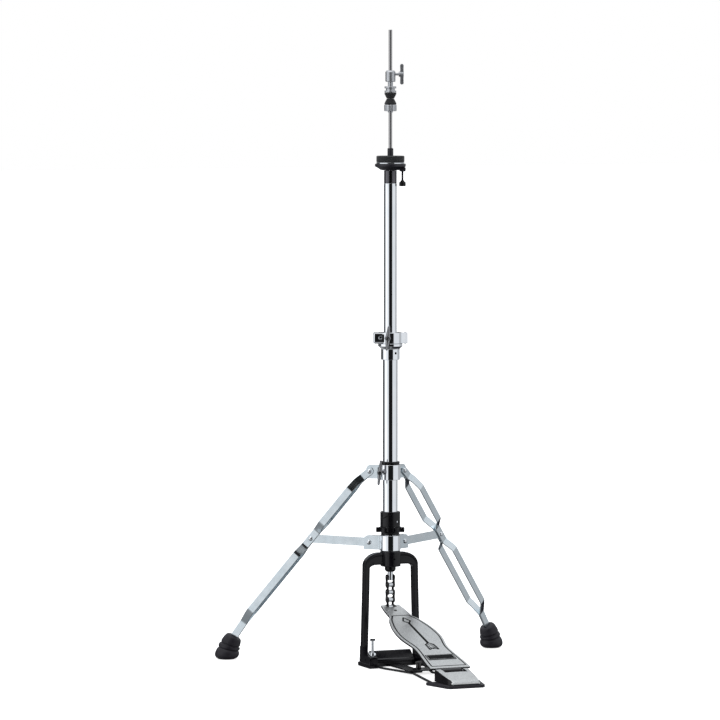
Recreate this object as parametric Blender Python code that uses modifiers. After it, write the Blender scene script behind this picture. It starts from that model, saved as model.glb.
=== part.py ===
"""Two-leg hi-hat stand with a chain-driven pedal, built as separate pieces.

Frame: metres, +Z up. The origin is on the floor under the tube's axis, on the underside of the cross bar.
The pedal's heel points towards -Y. The lengths below are given in millimetres times MM.
"""
import math

import bmesh
import bpy
from mathutils import Matrix, Vector

MM = 0.001
GAP = 0.3 * MM                      # air left between pieces that touch
ROUND = 24                          # sides of a large turned piece
SMALL_ROUND = 12                    # sides of a small turned piece

# Directions seen from above, in degrees from +X
SIDE_AZIMUTH = -22.5                # wing screws of the clutch, the tilter and the height lock's hinge
LEG_AZIMUTHS = {"left": 142.9, "right": 29.4}

# Base tube and U frame
BASE_TUBE_R = 12.7 * MM
BASE_TUBE_BORE = 11.5 * MM
BASE_TUBE_BOTTOM = 172.3 * MM
BASE_TUBE_TOP = 545.0 * MM
TUBE_CLEAR_R = BASE_TUBE_R + GAP    # bore of everything that sits around the base tube
HUB_R = 17.0 * MM
HUB_BOTTOM = 168.5 * MM
HUB_TOP = 194.9 * MM
HUB_FLOOR = 172.0 * MM
HUB_BLOCK_WIDTH = 28.0 * MM
HUB_BLOCK_FRONT = 19.0 * MM
NECK_BOTTOM = 159.2 * MM
NECK_R = 9.4 * MM
ROD_GUIDE_R = 5.3 * MM
ARM_DEPTH = 14.0 * MM
ARM_OUTER_TOP = 49.0 * MM           # half width of the frame where the corner starts
ARM_OUTER_FOOT = 53.2 * MM
ARM_THICK = 9.5 * MM
ARM_TOP_Z = 192.5 * MM
ARM_UNDER_Z = 171.5 * MM
CORNER_R = 27.0 * MM
CORNER_INNER_R = 19.0 * MM

# Foot blocks and cross bar
SOLE_HEIGHT = 7.0 * MM
SOLE_OUTER = 55.2 * MM
SOLE_INNER = 37.6 * MM
SOLE_REAR = 11.5 * MM
SOLE_FRONT = 45.0 * MM
BOSS_OUTER = 53.8 * MM
BOSS_FRONT = 39.0 * MM
BOSS_HEIGHT = 20.5 * MM
BAR_HALF = SOLE_INNER - GAP
BAR_PROFILE = ((8, 0), (8, 21.5), (4, 25), (-1, 25), (-16, 12.8), (-21, 12.2), (-22, 10), (-22, 0))
TONGUE_WIDTH_REAR = 24.0 * MM
TONGUE_WIDTH_FRONT = 17.0 * MM
TONGUE_FRONT = 124.0 * MM
TONGUE_THICK = 3.0 * MM
CLAMP_X = 4.0 * MM
CLAMP_Y = -113.0 * MM
SPUR_X = 45.0 * MM
SPUR_Y = -30.0 * MM
SPUR_R = 2.3 * MM
SPUR_TOP = 50.0 * MM

# Radius rods and heel
RADIUS_ROD_R = 2.1 * MM
RADIUS_ROD_Z = 3.3 * MM
ROD_ROUTE = ((41.0, -45.6), (38.0, -66.0), (17.0, -139.0), (19.0, -150.0), (36.0, -261.0))
HEEL_PLATE_THICK = 5.0 * MM
HEEL_PLATE_REAR = 262.0 * MM
HEEL_PLATE_FRONT = 325.0 * MM
HEEL_PLATE_REAR_HALF = 47.0 * MM
HEEL_PLATE_FRONT_HALF = 33.5 * MM
HEEL_HALF = 29.5 * MM
HEEL_TOP = 25.5 * MM

# Pedal: the board lies on a slope through its hinge
BOARD_HINGE = Vector((0.0, -262.0, 20.5)) * MM
BOARD_SLOPE = 16.36                 # degrees above level at rest
BOARD_TOP = 4.5 * MM                # upper face above the hinge axis, square to the board
BOARD_THICK = 4.0 * MM
BOARD_HALF_WIDTHS = ((7, 36.2), (30, 35.0), (52, 33.0), (70, 31.3), (89, 30.6), (105, 32.5), (122, 36.0),
                     (138, 38.0), (154, 38.0), (171, 36.4), (187, 33.8), (200.5, 30.6), (212, 27.4),
                     (220, 23.4), (227, 20.8), (238, 20.2), (256, 19.0), (276, 16.4))
KNUCKLE_R = 4.0 * MM
KNUCKLE_HALF = 18.0 * MM
HINGE_PIN_R = 2.5 * MM

# Chain: pins lie along X, one pitch apart, straight down the axis
PITCH = 12.7 * MM
TOP_PIN_Z = 149.4 * MM
CHAIN_PIN_R = 1.98 * MM
ROLLER_R = 3.95 * MM
PLATE_THICK = 1.5 * MM
INNER_PLATE_X = 4.65 * MM
OUTER_PLATE_X = 6.45 * MM
PLATE_END_R = 5.0 * MM
TOE_PIN_R = 1.4 * MM
TOE_PIN_SLACK = 1.5 * MM            # lets the last link follow the board's arc

# Pull rod and return spring
PULL_ROD_R = 3.0 * MM
LOWER_ROD_R = 4.0 * MM
ROD_END_R = 4.8 * MM
ROD_TOP = 1077.5 * MM
LOWER_ROD_TOP = 335.0 * MM
SPRING_R = 8.2 * MM
SPRING_WIRE_R = 0.8 * MM
SPRING_BOTTOM = 226.5 * MM
SPRING_TOP = 299.0 * MM
SPRING_TURNS = 7

# Tripod, as radius and height in a leg's own upright plane
LOWER_COLLAR = (195.3 * MM, 221.3 * MM)
UPPER_COLLAR = (316.1 * MM, 341.6 * MM)
COLLAR_R = 17.5 * MM
BUSHING_TOP = 347.1 * MM
LEG_PIVOT = (35.5 * MM, 329.5 * MM)
LEG_KNEE = (57.0 * MM, 311.5 * MM)  # the head of the leg bends here into its long straight
MID_PIVOT = (139.0 * MM, 212.0 * MM)
LEG_ANKLE = (248.0 * MM, 80.0 * MM)
LEG_END = (283.0 * MM, 29.5 * MM)
STRUT_PIVOT = (36.5 * MM, 208.5 * MM)
STRIP_WIDTH = 12.8 * MM
STRIP_THICK = 2.3 * MM
STRUT_WIDTH = 14.5 * MM
RIVET_R = 2.6 * MM
BOW = 15.0 * MM                     # offset of a leg strip's middle line where it bows out
UPPER_EAR = 1.5 * MM                # thickness of each upper ear; a pair lies back to back
BOOT_SECTIONS = ((290.0, 0.0, 10.0, 0), (290.0, 3.0, 16.5, 0), (289.0, 9.0, 21.0, 2),
                 (282.5, 25.0, 17.5, 14), (275.0, 40.5, 13.9, 28))   # centre, height, half width, lean

# Height lock and upper stand
UPPER_TUBE_R = 11.0 * MM
UPPER_TUBE_BORE = 9.8 * MM
UPPER_TUBE_BOTTOM = 432.0 * MM
UPPER_TUBE_TOP = 818.6 * MM
LOCK_BAND = (547.6 * MM, 566.1 * MM)
NECK_TOP = 840.0 * MM
CUP_PIVOT_Z = 843.0 * MM
TILT_SCREW_X = 20.4 * MM

# Clutch, heights along the rod
CLUTCH_BODY = (989.7 * MM, 1008.7 * MM)
CLUTCH_TUBE_R = 4.3 * MM

PALETTE = {
    "chrome": ((0.72, 0.74, 0.76), 0.12, 1.0),
    "bright_steel": ((0.62, 0.66, 0.70), 0.28, 1.0),
    "cast_alloy": ((0.58, 0.58, 0.58), 0.42, 1.0),
    "black_casting": ((0.025, 0.024, 0.028), 0.38, 0.0),
    "black_plastic": ((0.022, 0.021, 0.024), 0.45, 0.0),
    "rubber": ((0.030, 0.028, 0.033), 0.75, 0.0),
    "felt": ((0.018, 0.018, 0.020), 0.95, 0.0),
    "dark_steel": ((0.16, 0.155, 0.15), 0.35, 1.0),
}


def clear_scene():
    for old in list(bpy.data.objects):
        bpy.data.objects.remove(old, do_unlink=True)


def new_collection(name):
    collection = bpy.data.collections.new(name)
    bpy.context.scene.collection.children.link(collection)
    return collection


def make_materials():
    made = {}
    for name, (color, roughness, metallic) in PALETTE.items():
        material = bpy.data.materials.new(name)
        material.use_nodes = True
        shader = material.node_tree.nodes["Principled BSDF"]
        shader.inputs["Base Color"].default_value = (*color, 1.0)
        shader.inputs["Roughness"].default_value = roughness
        shader.inputs["Metallic"].default_value = metallic
        made[name] = material
    return made


clear_scene()
PARTS = new_collection("hi_hat_stand")
CUTTERS = new_collection("cutters")
MATERIALS = make_materials()


# ---- tools -------------------------------------------------------------------------------------------

def add_object(name, mesh, material):
    """A part when it has a material, otherwise a cutter or a piece to be joined to a part."""
    obj = bpy.data.objects.new(name, mesh)
    if material is None:
        obj.hide_render = True
        obj.display_type = "WIRE"
        CUTTERS.objects.link(obj)
    else:
        mesh.materials.append(MATERIALS[material])
        PARTS.objects.link(obj)
    return obj


def smooth(obj, angle=40.0):
    obj.data.shade_smooth()
    obj.data.set_sharp_from_angle(angle=math.radians(angle))
    return obj


def turned(name, profile, material=None, steps=ROUND, closed=False):
    """Turn (radius, height) points about Z. They run down the outer side, and back up a bore if closed."""
    mesh = bpy.data.meshes.new(name)
    count = len(profile)
    edges = [(i, i + 1) for i in range(count - 1)]
    if closed:
        edges.append((count - 1, 0))
    mesh.from_pydata([(radius, 0.0, height) for radius, height in profile], edges, [])
    obj = add_object(name, mesh, material)
    screw = obj.modifiers.new("turn", "SCREW")
    screw.axis = "Z"
    screw.angle = math.tau
    screw.steps = steps
    screw.render_steps = steps
    screw.use_merge_vertices = True
    screw.merge_threshold = 0.00001
    screw.use_smooth_shade = True
    return obj


def ring(name, outer, bore, low, high, material=None, steps=ROUND):
    profile = [(outer, high), (outer, low), (bore, low), (bore, high)]
    return turned(name, profile, material, steps, closed=True)


def disc(name, radius, low, high, material=None, steps=ROUND):
    return turned(name, [(0.0, high), (radius, high), (radius, low), (0.0, low)], material, steps)


def rod_between(name, start, end, radius, material=None, sides=SMALL_ROUND):
    start, end = Vector(start), Vector(end)
    direction = end - start
    turn = Vector((0, 0, 1)).rotation_difference(direction).to_matrix().to_4x4()
    mesh = bpy.data.meshes.new(name)
    shape = bmesh.new()
    bmesh.ops.create_cone(shape, cap_ends=True, segments=sides, radius1=radius, radius2=radius,
                          depth=direction.length, matrix=Matrix.Translation((start + end) / 2) @ turn)
    shape.to_mesh(mesh)
    shape.free()
    obj = add_object(name, mesh, material)
    return smooth(obj)


def box(name, low, high, material=None):
    low, high = Vector(low), Vector(high)
    mesh = bpy.data.meshes.new(name)
    shape = bmesh.new()
    fit = Matrix.Translation((low + high) / 2) @ Matrix.Diagonal((*(high - low), 1.0))
    bmesh.ops.create_cube(shape, size=1.0, matrix=fit)
    shape.to_mesh(mesh)
    shape.free()
    return add_object(name, mesh, material)


def outline_plate(name, points, thickness, material=None):
    """A flat closed outline in X and Y, filled and thickened equally up and down from Z = 0."""
    curve = bpy.data.curves.new(name, "CURVE")
    curve.dimensions = "2D"
    curve.fill_mode = "BOTH"
    curve.extrude = thickness / 2
    spline = curve.splines.new("POLY")
    spline.points.add(len(points) - 1)
    for point, (x, y) in zip(spline.points, points):
        point.co = (x, y, 0.0, 1.0)
    spline.use_cyclic_u = True
    return curve_to_object(name, curve, material)


def wire(name, points, radius, material=None, resolution=2):
    curve = bpy.data.curves.new(name, "CURVE")
    curve.dimensions = "3D"
    curve.bevel_depth = radius
    curve.bevel_resolution = resolution
    curve.use_fill_caps = True
    spline = curve.splines.new("POLY")
    spline.points.add(len(points) - 1)
    for point, place in zip(spline.points, points):
        point.co = (*place, 1.0)
    return curve_to_object(name, curve, material)


def curve_to_object(name, curve, material):
    """Turn a curve into a closed mesh, so that it can be cut and joined."""
    holder = bpy.data.objects.new(name + "_curve", curve)
    bpy.context.scene.collection.objects.link(holder)
    bpy.context.view_layer.update()
    evaluated = holder.evaluated_get(bpy.context.evaluated_depsgraph_get())
    mesh = bpy.data.meshes.new_from_object(evaluated)
    bpy.data.objects.remove(holder, do_unlink=True)
    mesh.name = name
    mesh.materials.clear()
    shape = bmesh.new()
    shape.from_mesh(mesh)
    bmesh.ops.remove_doubles(shape, verts=shape.verts, dist=0.000001)
    bmesh.ops.recalc_face_normals(shape, faces=shape.faces)
    shape.to_mesh(mesh)
    shape.free()
    return smooth(add_object(name, mesh, material), 30.0)


def boolean(obj, tools, operation):
    for tool in tools:
        modifier = obj.modifiers.new(operation.lower(), "BOOLEAN")
        modifier.operation = operation
        modifier.object = tool
        modifier.solver = "EXACT"
    return obj


def join(obj, *tools):
    return boolean(obj, tools, "UNION")


def cut(obj, *tools):
    return boolean(obj, tools, "DIFFERENCE")


def place(matrix, *objects):
    for obj in objects:
        obj.matrix_world = matrix @ obj.matrix_world
    bpy.context.view_layer.update()


def spin(angle):
    return Matrix.Rotation(math.radians(angle), 4, "Z")


def joint(name, location, *objects, parent=None):
    """An empty on a joint's axis that carries the moving pieces."""
    empty = bpy.data.objects.new(name, None)
    PARTS.objects.link(empty)
    empty.location = location
    if parent is not None:
        empty.parent = parent
        empty.matrix_parent_inverse = parent.matrix_world.inverted()
    bpy.context.view_layer.update()
    for obj in objects:
        obj.parent = empty
        obj.matrix_parent_inverse = empty.matrix_world.inverted()
    return empty


def arc(centre, radius, start, end, count):
    """Points on an arc from one angle to another, in degrees."""
    steps = [math.radians(start + (end - start) * i / count) for i in range(count + 1)]
    return [(centre[0] + radius * math.cos(a), centre[1] + radius * math.sin(a)) for a in steps]


def stadium(first, second, radius, count=6):
    """Outline of a flat link: two points joined with round ends."""
    heading = math.degrees(math.atan2(second[1] - first[1], second[0] - first[0]))
    return arc(second, radius, heading - 90, heading + 90, count) + arc(first, radius, heading + 90,
                                                                      heading + 270, count)


STAND_UP = Matrix.Rotation(math.radians(90), 4, "X")     # an XY outline becomes an upright XZ one
FACE_X = Matrix.Rotation(math.radians(90), 4, "Z") @ STAND_UP    # an XY outline becomes a YZ one


def wing_plate(name, span, waist, tip, thickness, material=None):
    """The two wings of a wing nut as one upright plate in XZ, centred on the origin."""
    half = span / 2
    points = arc((0, half - tip), tip, 0, 180, 6) + arc((0, 0), waist, 140, 220, 4)
    points += arc((0, tip - half), tip, 180, 360, 6) + arc((0, 0), waist, -40, 40, 4)
    plate = outline_plate(name, points, thickness, material)
    place(STAND_UP, plate)
    return plate


# ---- frame and base ----------------------------------------------------------------------------------

def u_frame():
    rise = ARM_TOP_Z - CORNER_R
    inner_x = ARM_OUTER_TOP - ARM_THICK
    foot_z = SOLE_HEIGHT / 3
    right = [(ARM_OUTER_FOOT, foot_z)]
    right += arc((ARM_OUTER_TOP - CORNER_R, rise), CORNER_R, 0, 90, 8)
    left = [(-x, z) for x, z in reversed(right)]
    inner_left = [(-(ARM_OUTER_FOOT - ARM_THICK), foot_z)]
    inner_left += arc((-inner_x + CORNER_INNER_R, ARM_UNDER_Z - CORNER_INNER_R), CORNER_INNER_R, 180, 90, 6)
    inner_right = [(-x, z) for x, z in reversed(inner_left)]
    frame = outline_plate("u_frame", right + left + inner_left + inner_right, ARM_DEPTH, "black_casting")
    place(STAND_UP, frame)
    hub = disc("hub", HUB_R, HUB_BOTTOM, HUB_TOP)
    block = box("hub_block", (-HUB_BLOCK_WIDTH / 2, -HUB_BLOCK_FRONT, HUB_BOTTOM + 0.4 * MM),
                (HUB_BLOCK_WIDTH / 2, -3.7 * MM, HUB_TOP - 0.3 * MM))
    neck = turned("neck", [(0.0, HUB_BOTTOM + 2 * MM), (NECK_R, HUB_BOTTOM + 2 * MM), (NECK_R, 163 * MM),
                           (NECK_R - 2.4 * MM, NECK_BOTTOM), (0.0, NECK_BOTTOM)])
    join(frame, hub, block, neck)
    for side in (-1, 1):
        join(frame, foot_block(side))
    tube_bore = disc("tube_bore", TUBE_CLEAR_R, HUB_FLOOR, HUB_TOP + 10 * MM)
    rod_bore = disc("rod_bore", ROD_GUIDE_R, NECK_BOTTOM - 10 * MM, HUB_FLOOR + 5 * MM)
    cut(frame, tube_bore, rod_bore)
    for side in (-1, 1):
        spur_bore = rod_between("spur_bore", (side * SPUR_X, SPUR_Y, -5 * MM),
                                (side * SPUR_X, SPUR_Y, 40 * MM), SPUR_R + GAP)
        pin_hole = rod_between("foot_pin_hole", (side * 50 * MM, -21 * MM, 13 * MM),
                               (side * 70 * MM, -21 * MM, 13 * MM), 1.5 * MM, sides=8)
        cut(frame, spur_bore, pin_hole)
    return frame


def foot_block(side):
    """Sole flange, block in front for the spur, and the thicker root of one leg of the U frame."""
    low = SOLE_HEIGHT / 2
    rear = 9 * MM
    block = [(rear, low), (rear, 15 * MM), (-15 * MM, BOSS_HEIGHT), (-BOSS_FRONT, BOSS_HEIGHT - 1.5 * MM),
             (-BOSS_FRONT, low)]
    root = [(8.2 * MM, 2 * low), (8.2 * MM, 16 * MM), (7.5 * MM, 32 * MM), (-7.5 * MM, 34 * MM),
            (-14 * MM, BOSS_HEIGHT - 3 * MM), (-14 * MM, 2 * low)]
    inner = SOLE_INNER + 0.5 * MM
    root_inner = BOSS_OUTER - 9 * MM
    root_outer = BOSS_OUTER - 0.3 * MM
    boss = outline_plate("foot_boss", block, BOSS_OUTER - inner)
    leg_root = outline_plate("leg_root", root, root_outer - root_inner)
    place(Matrix.Translation((side * (BOSS_OUTER + inner) / 2, 0, 0)) @ FACE_X, boss)
    place(Matrix.Translation((side * (root_outer + root_inner) / 2, 0, 0)) @ FACE_X, leg_root)
    sole = box("sole", (min(side * SOLE_INNER, side * SOLE_OUTER), -SOLE_FRONT, 0.0),
               (max(side * SOLE_INNER, side * SOLE_OUTER), SOLE_REAR, SOLE_HEIGHT))
    return join(boss, leg_root, sole)


def frame_base():
    profile = [(y * MM, z * MM) for y, z in BAR_PROFILE]
    bar = outline_plate("cross_bar", profile, 2 * BAR_HALF, "black_casting")
    place(FACE_X, bar)
    rear, front = TONGUE_WIDTH_REAR / 2, TONGUE_WIDTH_FRONT / 2
    tongue = outline_plate("tongue", [(rear, -15 * MM), (-rear, -15 * MM), (-rear, -40 * MM),
                                      (-front, -TONGUE_FRONT), (front, -TONGUE_FRONT), (rear, -40 * MM)],
                           TONGUE_THICK)
    place(Matrix.Translation((0, 0, TONGUE_THICK / 2 + 1 * MM)), tongue)
    join(bar, tongue)
    cut(bar, rod_between("clamp_hole", (CLAMP_X, CLAMP_Y, -5 * MM), (CLAMP_X, CLAMP_Y, 12 * MM), 2.6 * MM))
    return bar


def spur(side, name):
    """Threaded spur with a square head, and the wing nut that locks it."""
    x = side * SPUR_X
    shaft = turned("spur_" + name, [(0.0, SPUR_TOP - 2 * MM), (SPUR_R, SPUR_TOP - 2 * MM), (SPUR_R, 5 * MM),
                                    (0.6 * MM, 1.5 * MM), (0.0, 1.5 * MM)], "bright_steel", SMALL_ROUND)
    head = box("spur_head", (-4.6 * MM, -2.2 * MM, SPUR_TOP - 4 * MM), (4.6 * MM, 2.2 * MM, SPUR_TOP))
    nut_low = BOSS_HEIGHT + GAP
    nut = ring("spur_nut_" + name, 4.2 * MM, SPUR_R + GAP, nut_low, nut_low + 5.5 * MM, "bright_steel",
               SMALL_ROUND)
    wings = wing_plate("spur_wings", 17 * MM, 2.5 * MM, 2.4 * MM, 2 * MM)
    hole = disc("spur_nut_bore", SPUR_R + GAP, 10 * MM, 40 * MM, steps=SMALL_ROUND)
    place(Matrix.Translation((0, 0, nut_low + 2.8 * MM)) @ Matrix.Rotation(math.radians(90), 4, "Y"), wings)
    move = Matrix.Translation((x, SPUR_Y, 0))
    place(move @ spin(SIDE_AZIMUTH), shaft, head)
    place(move @ spin(70 * side), nut, wings)
    place(move, hole)
    join(shaft, head)
    join(nut, wings)
    cut(nut, hole)
    joint("spur_screw_" + name, (x, SPUR_Y, 0), shaft, nut)


def radius_rods():
    for side, name in ((-1, "left"), (1, "right")):
        points = [(side * x * MM, y * MM, RADIUS_ROD_Z) for x, y in ROD_ROUTE]
        wire("radius_rod_" + name, points, RADIUS_ROD_R, "black_casting")


def rod_clamp():
    """Wing bolt that holds a saddle over both radius rods, in front of the tongue."""
    saddle_low = RADIUS_ROD_Z + RADIUS_ROD_R + GAP
    saddle = box("rod_saddle", (-24 * MM, -140 * MM, saddle_low), (24 * MM, -106 * MM, saddle_low + 2 * MM),
                 "black_casting")
    cut(saddle, rod_between("saddle_hole", (CLAMP_X, CLAMP_Y, 0), (CLAMP_X, CLAMP_Y, 20 * MM), 2.6 * MM))
    rest = saddle_low + 2 * MM + GAP
    bolt = turned("rod_wing_bolt", [(0, 16 * MM), (3.6 * MM, 16 * MM), (4.6 * MM, rest), (2.2 * MM, rest),
                                    (2.2 * MM, 1.5 * MM), (0, 1.5 * MM)], "bright_steel", SMALL_ROUND)
    wings = wing_plate("rod_wings", 17 * MM, 2.6 * MM, 2.6 * MM, 2.8 * MM)
    place(Matrix.Translation((0, 0, 17 * MM)) @ Matrix.Rotation(math.radians(90), 4, "Y"), wings)
    place(Matrix.Translation((CLAMP_X, CLAMP_Y, 0)) @ spin(25), bolt, wings)
    join(bolt, wings)
    joint("rod_clamp_screw", (CLAMP_X, CLAMP_Y, 0), bolt)


# ---- pedal -------------------------------------------------------------------------------------------

def board_matrix():
    """Local X across, local Y up along the board from its hinge, local Z square to it."""
    return Matrix.Translation(BOARD_HINGE) @ Matrix.Rotation(math.radians(BOARD_SLOPE), 4, "X")


def footboard():
    right = [(half * MM, along * MM) for along, half in BOARD_HALF_WIDTHS]
    left = [(-x, y) for x, y in reversed(right)]
    board = outline_plate("footboard", right + left, BOARD_THICK, "cast_alloy")
    place(Matrix.Translation((0, 0, BOARD_TOP - BOARD_THICK / 2)), board)
    notch = box("toe_notch", (-8.6 * MM, 265 * MM, -20 * MM), (8.6 * MM, 295 * MM, 20 * MM))
    knuckle = rod_between("knuckle", (-KNUCKLE_HALF, 0, 0), (KNUCKLE_HALF, 0, 0), KNUCKLE_R,
                          sides=ROUND // 2)
    web = box("knuckle_web", (-KNUCKLE_HALF + 0.5 * MM, 1 * MM, -1 * MM),
              (KNUCKLE_HALF, 12 * MM, BOARD_TOP - 0.8 * MM))
    rib_left = box("rib_left", (-12 * MM, 10 * MM, -5 * MM), (-9 * MM, 205 * MM, 2 * MM))
    rib_right = box("rib_right", (9 * MM, 10 * MM, -5 * MM), (12 * MM, 205 * MM, 2 * MM))
    bore = rod_between("pin_bore", (-40 * MM, 0, 0), (40 * MM, 0, 0), HINGE_PIN_R + GAP)
    screw_hole = rod_between("toe_screw_hole", (0, 250 * MM, -10 * MM), (0, 250 * MM, 20 * MM), 2.3 * MM)
    place(board_matrix(), board, notch, knuckle, web, rib_left, rib_right, bore, screw_hole)
    join(board, knuckle, web, rib_left, rib_right)
    cut(board, notch, bore, screw_hole)
    return joint("footboard_hinge", BOARD_HINGE, board, toe_bracket())


def toe_bracket():
    """Plate under the toe whose two lugs carry the pin of the last chain link."""
    toe_pin = board_matrix().inverted() @ Vector((0, 0, TOP_PIN_Z - 4 * PITCH))
    under = BOARD_TOP - BOARD_THICK - GAP
    bracket = box("toe_bracket", (-8 * MM, 241 * MM, under - 1.8 * MM), (8 * MM, 262 * MM, under),
                  "dark_steel")
    for side in (-1, 1):
        outline = [(258 * MM, under - 1.8 * MM), (toe_pin.y, toe_pin.z - 4.2 * MM)]
        outline += arc((toe_pin.y, toe_pin.z), 4.2 * MM, -60, 90, 5)
        outline += [(266.0 * MM, toe_pin.z + 2.5 * MM), (265.7 * MM, under), (258 * MM, under)]
        lug = outline_plate("toe_lug", outline, 1.8 * MM)
        place(Matrix.Translation((side * 7.1 * MM, 0, 0)) @ FACE_X, lug)
        place(board_matrix(), lug)
        join(bracket, lug)
    pin = rod_between("toe_pin", (-7.6 * MM, toe_pin.y, toe_pin.z), (7.6 * MM, toe_pin.y, toe_pin.z),
                      TOE_PIN_R, sides=10)
    stud = rod_between("toe_stud", (0, 250 * MM, under - 1 * MM), (0, 250 * MM, BOARD_TOP - 0.3 * MM),
                       1.9 * MM, sides=12)
    place(board_matrix(), bracket, pin, stud)
    return join(bracket, pin, stud)


def heel():
    pin_y, pin_z = BOARD_HINGE.y, BOARD_HINGE.z
    low = HEEL_PLATE_THICK + GAP
    nose = [(-272 * MM, 23.9 * MM), (-290 * MM, 20.4 * MM), (-307 * MM, 16.1 * MM), (-316.5 * MM, 13 * MM),
            (-320.2 * MM, 9.4 * MM), (-321.5 * MM, low)]
    outline = arc((pin_y, pin_z), HEEL_TOP - 0.4 * MM - pin_z, 0, 120, 5) + nose + [(-256 * MM, low)]
    body = outline_plate("heel", outline, 2 * HEEL_HALF, "cast_alloy")
    place(FACE_X, body)
    slot = box("knuckle_slot", (-KNUCKLE_HALF - 0.6 * MM, -267.5 * MM, 9 * MM),
               (KNUCKLE_HALF + 0.6 * MM, -240 * MM, 40 * MM))
    clearance = box("board_clearance", (-40 * MM, -258.6 * MM, 23 * MM), (40 * MM, -240 * MM, 40 * MM))
    bore = rod_between("heel_bore", (-27.5 * MM, pin_y, pin_z), (27.5 * MM, pin_y, pin_z), HINGE_PIN_R + GAP)
    hollow = box("heel_hollow", (-20 * MM, -292 * MM, -1 * MM), (20 * MM, -272 * MM, 14 * MM))
    cut(body, slot, clearance, bore, hollow)
    rod_between("hinge_pin", (-27 * MM, pin_y, pin_z), (27 * MM, pin_y, pin_z), HINGE_PIN_R, "bright_steel")
    rear, front = HEEL_PLATE_REAR_HALF, HEEL_PLATE_FRONT_HALF
    corner = 4 * MM
    points = [(rear, -HEEL_PLATE_REAR), (-rear, -HEEL_PLATE_REAR),
              (-rear - 0.5 * MM, -HEEL_PLATE_REAR - corner),
              (-front, -HEEL_PLATE_FRONT + corner), (-front + corner, -HEEL_PLATE_FRONT),
              (front - corner, -HEEL_PLATE_FRONT), (front, -HEEL_PLATE_FRONT + corner),
              (rear + 0.5 * MM, -HEEL_PLATE_REAR - corner)]
    base = outline_plate("heel_plate", points, HEEL_PLATE_THICK, "rubber")
    place(Matrix.Translation((0, 0, HEEL_PLATE_THICK / 2)), base)


# ---- pull rod, spring and chain ----------------------------------------------------------------------

def pull_rod():
    socket_r = PULL_ROD_R + GAP
    socket_floor = LOWER_ROD_TOP - 25 * MM
    lower = turned("lower_pull_rod", [(0, socket_floor), (socket_r, socket_floor), (socket_r, LOWER_ROD_TOP),
                                      (LOWER_ROD_R + 1 * MM, LOWER_ROD_TOP), (LOWER_ROD_R + 1 * MM,
                                                                             LOWER_ROD_TOP - 15 * MM),
                                      (LOWER_ROD_R, LOWER_ROD_TOP - 16 * MM), (LOWER_ROD_R, 206 * MM),
                                      (ROD_END_R, 205 * MM), (ROD_END_R, 145.5 * MM),
                                      (ROD_END_R - 1 * MM, 144.5 * MM), (0, 144.5 * MM)], "bright_steel",
                   SMALL_ROUND)
    cut(lower, rod_between("top_pin_hole", (-10 * MM, 0, TOP_PIN_Z), (10 * MM, 0, TOP_PIN_Z),
                           CHAIN_PIN_R + GAP, sides=12))
    upper = turned("upper_pull_rod", [(0, ROD_TOP), (PULL_ROD_R - 0.8 * MM, ROD_TOP),
                                      (PULL_ROD_R, ROD_TOP - 0.8 * MM), (PULL_ROD_R, socket_floor + GAP),
                                      (0, socket_floor + GAP)], "chrome", SMALL_ROUND)
    collar = ring("spring_collar", 10.4 * MM, LOWER_ROD_R + GAP, SPRING_TOP + 1.4 * MM, SPRING_TOP + 7 * MM,
                  "black_plastic", SMALL_ROUND)
    ring("spring_seat", 10.9 * MM, LOWER_ROD_R + 1.2 * MM, 219 * MM, SPRING_BOTTOM - 1.2 * MM,
         "bright_steel", SMALL_ROUND)
    per_turn = 8
    points = []
    for i in range(SPRING_TURNS * per_turn + 1):
        turn = math.tau * i / per_turn
        share = i / (SPRING_TURNS * per_turn)
        points.append((SPRING_R * math.cos(turn), SPRING_R * math.sin(turn),
                       SPRING_BOTTOM + share * (SPRING_TOP - SPRING_BOTTOM)))
    wire("return_spring", points, SPRING_WIRE_R, "bright_steel", resolution=1)
    return joint("rod_slide", (0, 0, 0), lower, upper, collar)


def link_plate(name, x, top, bottom, material=None):
    plate = outline_plate(name, stadium((0, top), (0, bottom), PLATE_END_R, 5), PLATE_THICK, material)
    place(Matrix.Translation((x, 0, 0)) @ FACE_X, plate)
    return plate


def outer_link(name, top, bottom):
    link = link_plate(name, -OUTER_PLATE_X, top, bottom, "dark_steel")
    other = link_plate(name + "_plate", OUTER_PLATE_X, top, bottom)
    reach = OUTER_PLATE_X + 1.3 * MM
    pins = [rod_between(name + "_pin", (-reach, 0, z), (reach, 0, z), CHAIN_PIN_R, sides=12)
            for z in (top, bottom)]
    return join(link, other, *pins)


def inner_link(name, top, bottom, slack=0.0):
    """Two inner plates joined by their bushes. The last link's lower bore has room for the toe pin."""
    link = link_plate(name, -INNER_PLATE_X, top, bottom, "dark_steel")
    other = link_plate(name + "_plate", INNER_PLATE_X, top, bottom)
    reach = INNER_PLATE_X
    rollers = [rod_between(name + "_roller", (-reach, 0, z), (reach, 0, z), ROLLER_R) for z in (top, bottom)]
    far = 12 * MM
    lower_bore = CHAIN_PIN_R + GAP if slack == 0.0 else TOE_PIN_R + slack
    bores = [rod_between(name + "_bore", (-far, 0, top), (far, 0, top), CHAIN_PIN_R + GAP, sides=12),
             rod_between(name + "_bore", (-far, 0, bottom), (far, 0, bottom), lower_bore, sides=12)]
    join(link, other, *rollers)
    return cut(link, *bores)


def chain(rod_joint):
    heights = [TOP_PIN_Z - i * PITCH for i in range(5)]
    links = [outer_link("chain_link_1", heights[0], heights[1]),
             inner_link("chain_link_2", heights[1], heights[2]),
             outer_link("chain_link_3", heights[2], heights[3]),
             inner_link("chain_link_4", heights[3], heights[4], TOE_PIN_SLACK)]
    joint("chain_swing", (0, 0, TOP_PIN_Z), *links, parent=rod_joint)


# ---- spring tension ----------------------------------------------------------------------------------

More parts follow.
